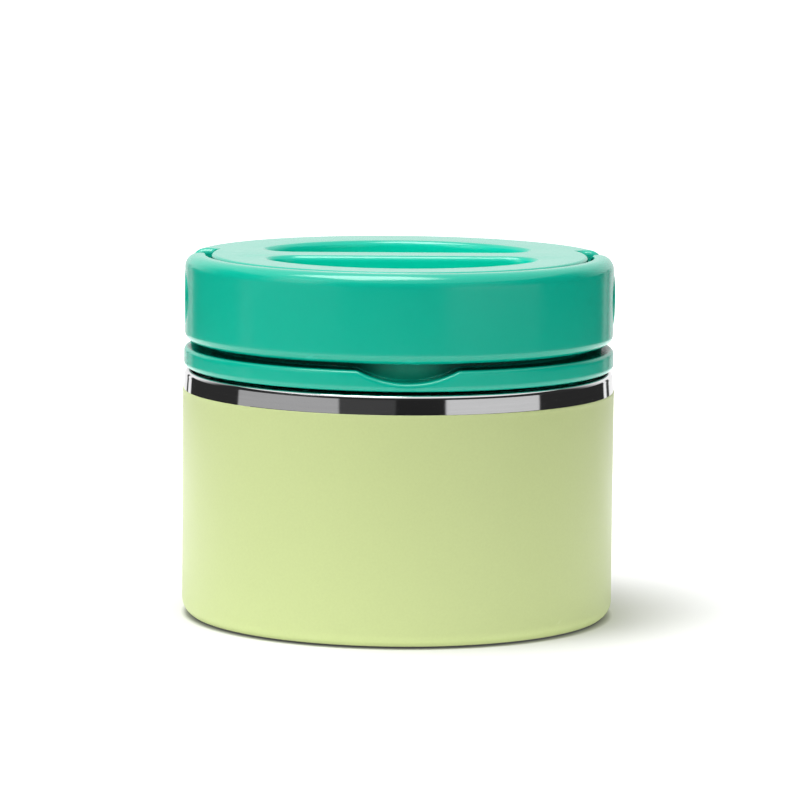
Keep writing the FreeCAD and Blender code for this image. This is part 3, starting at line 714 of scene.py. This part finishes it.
def half_section(outer_round):
    """The band's section from its middle line to its rim and back, as (radius, distance from the middle
    line), one column for each outer rounding: flat, quarter-round, rim, small quarter-round, flat."""
    outer_round = np.atleast_1d(np.array(outer_round, float))[None]
    quarter = np.linspace(0, math.pi / 2, SECTION_ROWS)[:, None]
    flat = np.linspace(0, 1, SECTION_ROWS, endpoint=False)[:, None]
    radius = np.vstack([
        SIDE_RADIUS + 0 * flat * outer_round,
        SIDE_RADIUS - outer_round * (1 - np.cos(quarter)),
        BAND_INNER + BAND_INNER_ROUND * (1 - np.sin(quarter)) + 0 * outer_round,
        BAND_INNER + 0 * flat * outer_round])
    away = np.vstack([
        flat * (BAND_HALF - outer_round),
        BAND_HALF - outer_round * (1 - np.sin(quarter)),
        BAND_HALF - BAND_INNER_ROUND * (1 - np.cos(quarter)) + 0 * outer_round,
        (1 - (flat + 1 / SECTION_ROWS)) * (BAND_HALF - BAND_INNER_ROUND) + 0 * outer_round])
    return radius, away


upper_radius, upper_away = half_section(TOP_ROUND)
lower_radius, lower_away = half_section(BAND_LOWER_ROUND)
section = np.vstack([
    np.hstack([upper_radius[::-1], PIVOT_Z + upper_away[::-1]]),
    np.hstack([lower_radius, PIVOT_Z - lower_away])[1:-1]])
angle = np.linspace(0, -math.pi, 181)[None]
band_points = np.stack([
    section[:, :1] * np.cos(angle), section[:, :1] * np.sin(angle), section[:, 1:] + 0 * angle], axis=-1)

fan = np.linspace(0, math.pi, 61)
ear_round = TOP_ROUND + (BAND_LOWER_ROUND - TOP_ROUND) * smooth(fan / math.pi)
ear_radius, ear_away = half_section(ear_round)
ear_y = ear_away * np.sin(fan)
ear_x = np.sqrt(ear_radius ** 2 - ear_y ** 2)
ear_points = np.stack([ear_x, ear_y, PIVOT_Z + ear_away * np.cos(fan)], axis=-1)
band_patches = [patch(band_points, True, False)]
band_patches += [patch(ear_points * np.array([side, 1.0, 1.0])) for side in (1.0, -1.0)]
band_patches += [soft_bar(*CATCH_LUG)]
for middle in RIB_PLACES:
    band_patches += [soft_bar((middle - RIB_HALF, middle + RIB_HALF), RIB_RADII, RIB_HEIGHTS)]
make_piece("carry_handle", band_patches, "handle", ["handle_band"], "lid_plastic")

# %% [markdown]
# ## The pivot caps
# Each ear has a round cap over its screw. Its face is a very shallow dome with a soft edge, and it
# stands a little proud of the band. It is turned about the pivot axis, as the bosses are.

# %% Pivot caps
CAP_FACE, CAP_BACK = 53.65, 51.9
CAP_RADIUS = 7.6
CAP_DOME = 0.2
dome_radius = np.linspace(0, 6.9, 12)
dome = np.stack([CAP_FACE - CAP_DOME * (dome_radius / CAP_RADIUS) ** 2, dome_radius], axis=1)
cap_edge = rounded([
    (53.48, 7.0, 0), (53.45, CAP_RADIUS, 0.45), (CAP_BACK, CAP_RADIUS, 0.1), (CAP_BACK, 0, 0)], closed=False)
cap_profile = np.concatenate([dome, cap_edge])
for side, name in ((-1, "left"), (1, "right")):
    cap = pivot_turned(cap_profile, side)
    make_piece("ear_cap_" + name, [cap], "handle", ["pivot_cap_" + name], "lid_plastic")

# %% [markdown]
# ## Building shader trees
# A material is a small tree of nodes. One helper makes a node and either links or sets each input,
# another makes a group with named sockets, and short ones stand for the sums that come up most. A
# group is an effect that several materials share, and each material gives it its own values.

# %% Helpers for nodes and groups
def node(tree, kind, inputs=None, **settings):
    """A node with its settings. An input that is another node's socket is linked, and a plain value is
    set."""
    made = tree.nodes.new("ShaderNode" + kind)
    for name, value in settings.items():
        setattr(made, name, value)
    for name, value in (inputs or {}).items():
        if isinstance(value, bpy.types.NodeSocket):
            tree.links.new(value, made.inputs[name])
        else:
            made.inputs[name].default_value = value
    return made


def group(name, inputs, outputs):
    """An empty node group with float inputs, given as name and default, and float outputs."""
    tree = bpy.data.node_groups.new(name, "ShaderNodeTree")
    for label, value in inputs.items():
        socket = tree.interface.new_socket(name=label, in_out="INPUT", socket_type="NodeSocketFloat")
        socket.default_value = value
    for label in outputs:
        tree.interface.new_socket(name=label, in_out="OUTPUT", socket_type="NodeSocketFloat")
    return tree, tree.nodes.new("NodeGroupInput"), tree.nodes.new("NodeGroupOutput")


def use(tree, group_tree, **inputs):
    """A group placed in a material's tree with its own values."""
    made = tree.nodes.new("ShaderNodeGroup")
    made.node_tree = group_tree
    for name, value in inputs.items():
        made.inputs[name].default_value = value
    return made


def maths(tree, operation, first, second):
    """Two values put together by a Math node."""
    return node(tree, "Math", {0: first, 1: second}, operation=operation).outputs[0]


def ranged(tree, value, low=0.0, high=1.0, to_low=0.0, to_high=1.0, **settings):
    """A value carried from the range low to high onto the range to_low to to_high, and kept inside it."""
    ends = {"From Min": low, "From Max": high, "To Min": to_low, "To Max": to_high}
    return node(tree, "MapRange", {"Value": value, **ends}, **settings).outputs[0]


def mixed_colour(tree, share, first, second):
    """The first colour where the share is 0, and the second where it is 1."""
    return node(tree, "Mix", {0: share, 6: first, 7: second}, data_type="RGBA").outputs[2]


def scaled_colour(tree, colour, share):
    """A colour made lighter or darker by a share."""
    return node(tree, "VectorMath", {0: colour, "Scale": share}, operation="SCALE").outputs[0]


def from_axis(tree):
    """A point's three numbers on the piece, and its distance from the jar's upright axis."""
    place = node(tree, "SeparateXYZ", {0: node(tree, "TexCoord").outputs["Object"]}).outputs
    flat = node(tree, "CombineXYZ", {0: place[0], 1: place[1]}).outputs[0]
    return place, node(tree, "VectorMath", {0: flat}, operation="LENGTH").outputs["Value"]


# %% [markdown]
# ## Effects that materials share
# Grain is the fine texture that a mould or a spray leaves: noise of a given size in millimetres.
# Smudges are broad, faint patches where hands have polished or dulled the surface. Edge light finds
# the outward edges, which get rubbed first. Turning marks are the fine rings that polishing leaves.
# Gap shade is painted shade: colours are darkened between pieces that nearly touch, where little light gets in.

# %% Shared effects
PER_METRE = 1000.0


def make_grain():
    """Grain: noise whose period is Size mm, as a height of Depth mm and as a speckle around 0.5."""
    tree, given, result = group("moulded_grain", {"Size": 0.4, "Depth": 0.01}, ["Height", "Speckle"])
    place = node(tree, "TexCoord").outputs["Object"]
    scale = maths(tree, "DIVIDE", PER_METRE, given.outputs["Size"])
    noise = node(tree, "TexNoise", {"Vector": place, "Scale": scale, "Detail": 2.0, "Roughness": 0.55})
    height = maths(tree, "MULTIPLY", noise.outputs[0], given.outputs["Depth"])
    tree.links.new(height, result.inputs["Height"])
    tree.links.new(noise.outputs[0], result.inputs["Speckle"])
    return tree


def make_smudges():
    """Smudges: broad noise, sharpened to patches, over finer noise for streaks. 0 is clean and 1 is
    marked."""
    tree, given, result = group("hand_smudges", {"Size": 25.0, "Spread": 0.5}, ["Smudge"])
    place = node(tree, "TexCoord").outputs["Object"]
    scale = maths(tree, "DIVIDE", PER_METRE, given.outputs["Size"])
    broad = node(tree, "TexNoise", {"Vector": place, "Scale": scale, "Detail": 4.0, "Roughness": 0.6})
    stretched = node(tree, "Mapping", {"Vector": place, "Scale": (90.0, 90.0, 420.0)}, vector_type="POINT")
    fine = node(tree, "TexNoise", {
        "Vector": stretched.outputs[0], "Scale": 1.0, "Detail": 3.0, "Roughness": 0.7})
    patches = ranged(tree, broad.outputs[0], 0.42, 0.66, interpolation_type="SMOOTHSTEP")
    streaks = ranged(tree, fine.outputs[0], 0.35, 0.75)
    both = maths(tree, "MULTIPLY", patches, streaks)
    spread = maths(tree, "MULTIPLY", both, given.outputs["Spread"])
    tree.links.new(spread, result.inputs["Smudge"])
    return tree


def make_edge_light():
    """Edge light: how outward the surface bends at a point, broken up by noise; 0 on flats and 1 on edges."""
    tree, given, result = group("rubbed_edges", {"Start": 0.51, "Full": 0.56}, ["Edge"])
    bend = node(tree, "NewGeometry").outputs["Pointiness"]
    place = node(tree, "TexCoord").outputs["Object"]
    noise = node(tree, "TexNoise", {"Vector": place, "Scale": 300.0, "Detail": 3.0})
    edge = ranged(tree, bend, given.outputs["Start"], given.outputs["Full"])
    tree.links.new(maths(tree, "MULTIPLY", edge, noise.outputs[0]), result.inputs["Edge"])
    return tree


def make_turning_marks():
    """Turning marks: noise read by distance from the axis and by height, so that its lines run round the
    jar."""
    tree, given, result = group("turning_marks", {"Spacing": 0.25, "Depth": 0.002}, ["Height", "Streak"])
    place, radius = from_axis(tree)
    scale = maths(tree, "DIVIDE", PER_METRE, given.outputs["Spacing"])
    across = maths(tree, "MULTIPLY", radius, scale)
    up = maths(tree, "MULTIPLY", place[2], scale)
    around = maths(tree, "MULTIPLY", place[0], 60.0)
    spot = node(tree, "CombineXYZ", {0: across, 1: up, 2: around}).outputs[0]
    noise = node(tree, "TexNoise", {"Vector": spot, "Scale": 1.0, "Detail": 3.0, "Roughness": 0.6})
    height = maths(tree, "MULTIPLY", noise.outputs[0], given.outputs["Depth"])
    tree.links.new(height, result.inputs["Height"])
    tree.links.new(noise.outputs[0], result.inputs["Streak"])
    return tree


def make_painted_gap_shade():
    """Painted gap shade: the share of directions that is open within Distance metres, carried from the
    range Dark to Full onto the range Least to 1. It is Least in a tight gap and 1 in the open, and it
    darkens colours there as painted shade."""
    inputs = {"Distance": 0.004, "Dark": 0.3, "Full": 0.62, "Least": 0.06}
    tree, given, result = group("painted_gap_shade", inputs, ["Lit"])
    given = given.outputs
    open_share = node(tree, "AmbientOcclusion", {"Distance": given["Distance"]}, samples=6).outputs["AO"]
    lit = ranged(tree, open_share, given["Dark"], given["Full"], given["Least"])
    tree.links.new(lit, result.inputs["Lit"])
    return tree


GRAIN, SMUDGES, EDGES, MARKS = make_grain(), make_smudges(), make_edge_light(), make_turning_marks()
PAINTED_GAP_SHADE = make_painted_gap_shade()
print("shared effects:", [tree.name for tree in bpy.data.node_groups])

# %% [markdown]
# ## Finishes
# Each finish is a Principled shader with three things worked out by nodes: its colour, a little
# lighter on rubbed edges and uneven in the speckle; its roughness, which smudges change; and its
# bump, which comes from the grain or the turning marks. The lid's plastic and the shoulder's steel
# have painted shade in their colour in narrow gaps, and the lid's dish has a painted lighter colour.
# Values that are the same everywhere are set on the shader itself.

# %% A finish for plastics, rubber and coats
def srgb(red, green, blue):
    """A colour given as 0 to 255 for the screen, as linear light: ((c + 0.055) / 1.055) to the power 2.4."""
    channel = np.array([red, green, blue]) / 255
    linear = np.where(channel <= 0.04045, channel / 12.92, ((channel + 0.055) / 1.055) ** 2.4)
    return (*[float(value) for value in linear], 1.0)


# Painted light: inside these bounds the lid's dish gets a lighter colour.
DISH_MASK_RADII = (37.5, 36.2)
DISH_MASK_TOP = (90.4, 89.2)
DISH_MASK_FLOOR = (78.0, 78.5)
# The near-black colour of the painted shade in narrow gaps.
PAINTED_GAP_SHADE_COLOUR = (0.0, 0.02, 0.014, 1.0)


def painted_dish_light_mask(tree):
    """A mask of the lid's dish: 1 near the axis and between the dish's floor and the lid's top, falling to
    0 in about a millimetre at the rim and at the top, and in half of one under the floor. It places the
    dish's painted lighter colour."""
    place, radius = from_axis(tree)
    near = ranged(tree, radius, *np.array(DISH_MASK_RADII) * MM)
    below = ranged(tree, place[2], *np.array(DISH_MASK_TOP) * MM)
    above = ranged(tree, place[2], *np.array(DISH_MASK_FLOOR) * MM)
    return maths(tree, "MULTIPLY", maths(tree, "MULTIPLY", near, below), above)


def bare_material(name, shader_values):
    """A material with only a Principled shader and its output."""
    material = bpy.data.materials.new(name)
    material.use_nodes = True
    tree = material.node_tree
    tree.nodes.clear()
    shader = node(tree, "BsdfPrincipled", shader_values)
    node(tree, "OutputMaterial", {"Surface": shader.outputs[0]})
    return material, tree, shader


def finish(name, colour, edge_colour, roughness, rubbed_roughness, grain, depth, dish_light_colour=None, **shader_values):
    """A moulded or sprayed finish: the colour goes to the edge colour where edges are rubbed, and the
    roughness to the rubbed roughness under smudges. Given a colour for the dish, the lid's dish gets that
    lighter colour as painted light, and the finish gets painted gap shade: its colour goes dark in narrow
    gaps, and its specular level drops there too."""
    material, tree, shader = bare_material(name, shader_values)
    texture = use(tree, GRAIN, Size=grain, Depth=depth)
    marks = use(tree, SMUDGES, Size=25.0, Spread=0.5)
    edges = use(tree, EDGES)
    shade = ranged(tree, texture.outputs["Speckle"], to_low=0.96, to_high=1.04)
    mixed = mixed_colour(tree, edges.outputs[0], scaled_colour(tree, colour[:3], shade), edge_colour)
    if dish_light_colour is not None:
        # Painted light: the dish's colour is lighter, standing in for the light that its walls catch.
        mixed = mixed_colour(tree, painted_dish_light_mask(tree), mixed, dish_light_colour)
        # Painted shade: the colour goes dark, and the specular level drops, in narrow gaps.
        gaps = use(tree, PAINTED_GAP_SHADE, Distance=4.0 * MM, Dark=0.3, Full=0.62, Least=0.06)
        mixed = mixed_colour(tree, gaps.outputs["Lit"], PAINTED_GAP_SHADE_COLOUR, mixed)
        shine = ranged(tree, gaps.outputs["Lit"], low=0.1, to_low=0.0, to_high=0.5)
        tree.links.new(shine, shader.inputs["Specular IOR Level"])
    tree.links.new(mixed, shader.inputs["Base Color"])
    sheen = ranged(tree, marks.outputs[0], to_low=roughness, to_high=rubbed_roughness)
    tree.links.new(sheen, shader.inputs["Roughness"])
    bump = node(tree, "Bump", {"Height": texture.outputs["Height"], "Distance": MM, "Strength": 1.0})
    tree.links.new(bump.outputs[0], shader.inputs["Normal"])
    return material


def metal(name, colour, roughness, dull_roughness, spacing, depth, waves=0.0, gap=False):
    """Turned or polished metal: fine rings in the bump, and a roughness that varies along them. With gap
    set, the colour is darkened in narrow gaps as painted shade."""
    material, tree, shader = bare_material(name, {"Metallic": 1.0})
    marks = use(tree, MARKS, Spacing=spacing, Depth=depth)
    smudges = use(tree, SMUDGES, Size=14.0, Spread=0.6)
    ripple = use(tree, GRAIN, Size=7.0, Depth=waves)
    shade = ranged(tree, marks.outputs["Streak"], to_low=0.93, to_high=1.05)
    streaked = scaled_colour(tree, colour[:3], shade)
    if gap:
        # Painted shade: the steel's colour goes dark where another surface stands near.
        gaps = use(tree, PAINTED_GAP_SHADE, Distance=3.0 * MM, Dark=0.2, Full=0.6, Least=0.04)
        streaked = scaled_colour(tree, streaked, gaps.outputs["Lit"])
    tree.links.new(streaked, shader.inputs["Base Color"])
    dull = maths(tree, "MULTIPLY", smudges.outputs[0], marks.outputs["Streak"])
    sheen = ranged(tree, dull, to_low=roughness, to_high=dull_roughness)
    tree.links.new(sheen, shader.inputs["Roughness"])
    both = maths(tree, "ADD", marks.outputs["Height"], ripple.outputs["Height"])
    bump = node(tree, "Bump", {"Height": both, "Distance": MM, "Strength": 1.0})
    tree.links.new(bump.outputs[0], shader.inputs["Normal"])
    return material


# %% [markdown]
# ## The jar's finishes
# Two finishes carry the picture: the lime powder coat, which is satin with a fine orange-peel
# texture, and the teal polypropylene, which has a fine spark-eroded grain and looks nearly white
# where light grazes it. The steel is polished bright on the shoulder and finely turned inside.

# %% Materials by slot
FINISHES = {
    "powder_coat": finish(
        "lime_powder_coat", srgb(190, 203, 139), srgb(201, 213, 155), 0.38, 0.46, 0.55, 0.006),
    "lid_plastic": finish(
        "teal_polypropylene", srgb(0, 175, 148), srgb(30, 194, 170), 0.19, 0.26, 0.30, 0.005,
        # The lighter dish colour is painted light.
        dish_light_colour=srgb(0, 210, 184)),
    "carrier_plastic": finish(
        "pale_grey_plastic", srgb(198, 201, 200), srgb(214, 216, 215), 0.42, 0.5, 0.35, 0.006),
    "silicone": finish(
        "white_silicone", srgb(224, 224, 219), srgb(236, 236, 232), 0.46, 0.55, 0.3, 0.003,
        **{"Subsurface Weight": 0.2, "Subsurface Radius": (0.004, 0.004, 0.004), "Subsurface Scale": 0.5}),
    "pad": finish("foot_rubber", srgb(52, 52, 54), srgb(84, 84, 86), 0.62, 0.75, 0.6, 0.02),
    "foam": finish("lid_foam", srgb(232, 226, 206), srgb(240, 236, 220), 0.85, 0.95, 0.8, 0.08),
    "washer_plastic": finish("washer_acetal", srgb(232, 232, 228), srgb(240, 240, 238), 0.3, 0.38, 0.25, 0.002),
    "seal_glass": finish("port_resin", srgb(70, 70, 76), srgb(96, 96, 102), 0.2, 0.3, 1.2, 0.01),
    "getter_metal": finish("sintered_pellet", srgb(92, 90, 88), srgb(120, 118, 116), 0.7, 0.85, 0.25, 0.03),
    # The shoulder's steel gets painted shade in narrow gaps.
    "polished_steel": metal("polished_steel", (0.80, 0.80, 0.81), 0.05, 0.12, 0.5, 0.0004, 0.014, gap=True),
    "brushed_liner": metal("turned_steel", (0.74, 0.74, 0.75), 0.2, 0.32, 0.22, 0.002),
    "screw_steel": metal("screw_steel", (0.66, 0.66, 0.67), 0.22, 0.3, 0.2, 0.002),
}
slot_of = {part["node"]: part["material_slot"] for part in frame["record"]["subparts"]}
for item in bpy.context.scene.objects:
    if item.type == "MESH":
        wanted = item.get("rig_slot") or slot_of[item["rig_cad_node"]]
        item.data.materials.clear()
        item.data.materials.append(FINISHES[wanted])
print("finishes:", len(FINISHES))

# %% [markdown]
# ## Floor, surroundings and light
# The floor and the world are plain white to the camera and to mirror rays. The world gives the jar a
# soft fill, and the floor close to the jar sends some light up at its lower half. The steel needs
# something to mirror, so a ring of grey, dark and white cards stands round the jar in three rows,
# where only mirror rays see it. Three soft lamps do the rest: the strongest hangs overhead, one
# stands in front to the left, and a weak one in front to the right.

# %% Floor and world
FLOOR_HALF = 6000.0
FLOOR_WHITE = 0.8
# Painted shadow: the floor's colour under the foot, and the reach over which it fades to white.
PAINTED_CONTACT_SHADOW = 0.15
PAINTED_SHADOW_REACH = (51.5, 54.5)
FLOOR_GLOW = 0.06
GLOW_REACH = (55.0, 200.0)
FLOOR_BOUNCE = 0.68
BOUNCE_REACH = (60.0, 220.0)
WORLD_FILL = 0.26
WHITE = (1.0, 1.0, 1.0, 1.0)


def seen_directly(tree):
    """1 for camera, mirror and see-through rays, 0 for the rays that light the jar."""
    path = node(tree, "LightPath").outputs
    first = maths(tree, "MAXIMUM", path["Is Camera Ray"], path["Is Glossy Ray"])
    return maths(tree, "MAXIMUM", first, path["Is Transmission Ray"])


def make_grid(name, points, wrap_columns=False):
    """An object made of one grid of points in millimetres."""
    points, quads = patch(points, False, wrap_columns)
    mesh = bpy.data.meshes.new(name)
    mesh.from_pydata((points * MM).tolist(), [], quads.tolist())
    item = bpy.data.objects.new(name, mesh)
    bpy.context.scene.collection.objects.link(item)
    return item


def make_floor():
    """A flat, pale grid. The camera and mirror rays see it glow, less close to the jar, so that it is white
    but keeps the jar's shadow. The rays that light the jar see it glow only close to the jar. Its colour
    is dark under the foot: a painted contact shadow along the line where the jar stands."""
    reach = np.linspace(-FLOOR_HALF, FLOOR_HALF, 9)
    x, y = np.meshgrid(reach, reach)
    floor = make_grid("floor", np.stack([x, y, 0 * x], axis=-1))
    material, tree, shader = bare_material(
        "floor_white", {"Roughness": 0.9, "Specular IOR Level": 0.0, "Emission Color": WHITE})
    place = node(tree, "TexCoord").outputs["Object"]
    away = node(tree, "VectorMath", {0: place}, operation="LENGTH").outputs["Value"]
    # Painted shadow: the floor's colour goes dark under the foot.
    white = ranged(tree, away, *np.array(PAINTED_SHADOW_REACH) * MM, PAINTED_CONTACT_SHADOW, FLOOR_WHITE)
    tree.links.new(white, shader.inputs["Base Color"])
    level = ranged(tree, away, *np.array(GLOW_REACH) * MM, FLOOR_GLOW, 1.0)
    bounce = ranged(tree, away, *np.array(BOUNCE_REACH) * MM, FLOOR_BOUNCE, 0.0)
    glow = node(tree, "Mix", {0: seen_directly(tree), 2: bounce, 3: level}).outputs[0]
    tree.links.new(glow, shader.inputs["Emission Strength"])
    floor.data.materials.append(material)


def make_world():
    """White where it is seen or mirrored, and a soft fill for everything else."""
    world = bpy.data.worlds.new("studio")
    world.use_nodes = True
    tree = world.node_tree
    sky = tree.nodes["Background"]
    sky.inputs["Color"].default_value = WHITE
    strength = ranged(tree, seen_directly(tree), to_low=WORLD_FILL, to_high=1.0)
    tree.links.new(strength, sky.inputs["Strength"])
    bpy.context.scene.world = world


make_floor()
make_world()

# %% Cards that only mirror rays see
CARD_RADIUS = 420.0
CARD_COLUMNS = 720
CARD_EDGE = 1.6
CARD_FOOT = 1.0
CARD_STEPS = (44.0, 120.0)
CARD_TOP = 400.0
FRONT_DARK = 0.03
LOW_FRONT = 80.0
HIGH_FROM, HIGH_FADE = 105.0, 40.0
CARDS = [
    (-180.0, 1.0), (-150.0, 0.03), (-146.0, 1.0), (-140.0, 0.03), (-88.6, 0.42), (-29.4, 0.06), (-1.3, 0.02),
    (23.4, 0.66), (75.4, 0.025), (136.0, 1.0), (141.0, 0.06), (147.0, 1.0), (180.0, 1.0)]


def make_cards():
    """A ring of cards about the jar, in three rows. Angle runs from the camera's side, to the right. In the
    middle row, which the steel mirrors, each card has one brightness and the steps are narrow. The low row
    is the same but dark in front, and the high row goes smoothly from dark in front to white behind.
    Brightness is an attribute."""
    angle = np.linspace(-180, 180, CARD_COLUMNS, endpoint=False)
    turn = np.radians(angle + CAMERA_TURN - 90.0)
    height = np.array([CARD_FOOT, *CARD_STEPS, CARD_TOP])[:, None]
    x, y = CARD_RADIUS * np.cos(turn) + 0 * height, CARD_RADIUS * np.sin(turn) + 0 * height
    cards = make_grid("cards", np.stack([x, y, height + 0 * turn], axis=-1), True)
    middle = angle + 180.0 / CARD_COLUMNS
    starts, values = np.array(CARDS).T
    step = smooth((middle[:, None] - starts[1:] + CARD_EDGE / 2) / CARD_EDGE)
    steel = values[0] + (step * np.diff(values)).sum(axis=1)
    low = np.where(np.abs(middle) < LOW_FRONT, FRONT_DARK, steel)
    high = FRONT_DARK + (1 - FRONT_DARK) * smooth((np.abs(middle) - HIGH_FROM) / HIGH_FADE)
    shade = cards.data.attributes.new("card", "FLOAT", "FACE")
    shade.data.foreach_set("value", np.concatenate([low, steel, high]).astype(np.float32))
    material = bpy.data.materials.new("card_light")
    material.use_nodes = True
    tree = material.node_tree
    tree.nodes.clear()
    value = node(tree, "Attribute", attribute_name="card").outputs["Fac"]
    light = node(tree, "Emission", {"Color": WHITE, "Strength": value})
    node(tree, "OutputMaterial", {"Surface": light.outputs[0]})
    cards.data.materials.append(material)
    for kind in ("camera", "diffuse", "transmission", "volume_scatter", "shadow"):
        setattr(cards, "visible_" + kind, False)


make_cards()
print("cards in the ring:", len(CARDS) - 1)

# %% Lamps
LAMPS = {
    "key": ((-950.0, -520.0, 620.0), (0.0, 0.0, 45.0), 620.0, 4.6),
    "fill": ((750.0, -900.0, 420.0), (0.0, 0.0, 40.0), 700.0, 2.0),
    "overhead": ((-150.0, -60.0, 1000.0), (0.0, 0.0, 60.0), 600.0, 10.0),
}


def make_lamp(name, place, target, size, power_watts):
    """A square soft lamp, aimed at a point."""
    data = bpy.data.lights.new(name, "AREA")
    data.size = size * MM
    data.energy = power_watts
    lamp = bpy.data.objects.new(name, data)
    aim = Vector(place) - Vector(target)
    turned_to = aim.to_track_quat("Z", "Y").to_matrix().to_4x4()
    lamp.matrix_world = Matrix.Translation(Vector(place) * MM) @ turned_to
    bpy.context.scene.collection.objects.link(lamp)


for name, values in LAMPS.items():
    make_lamp(name, *values)
print("lamps:", list(LAMPS))
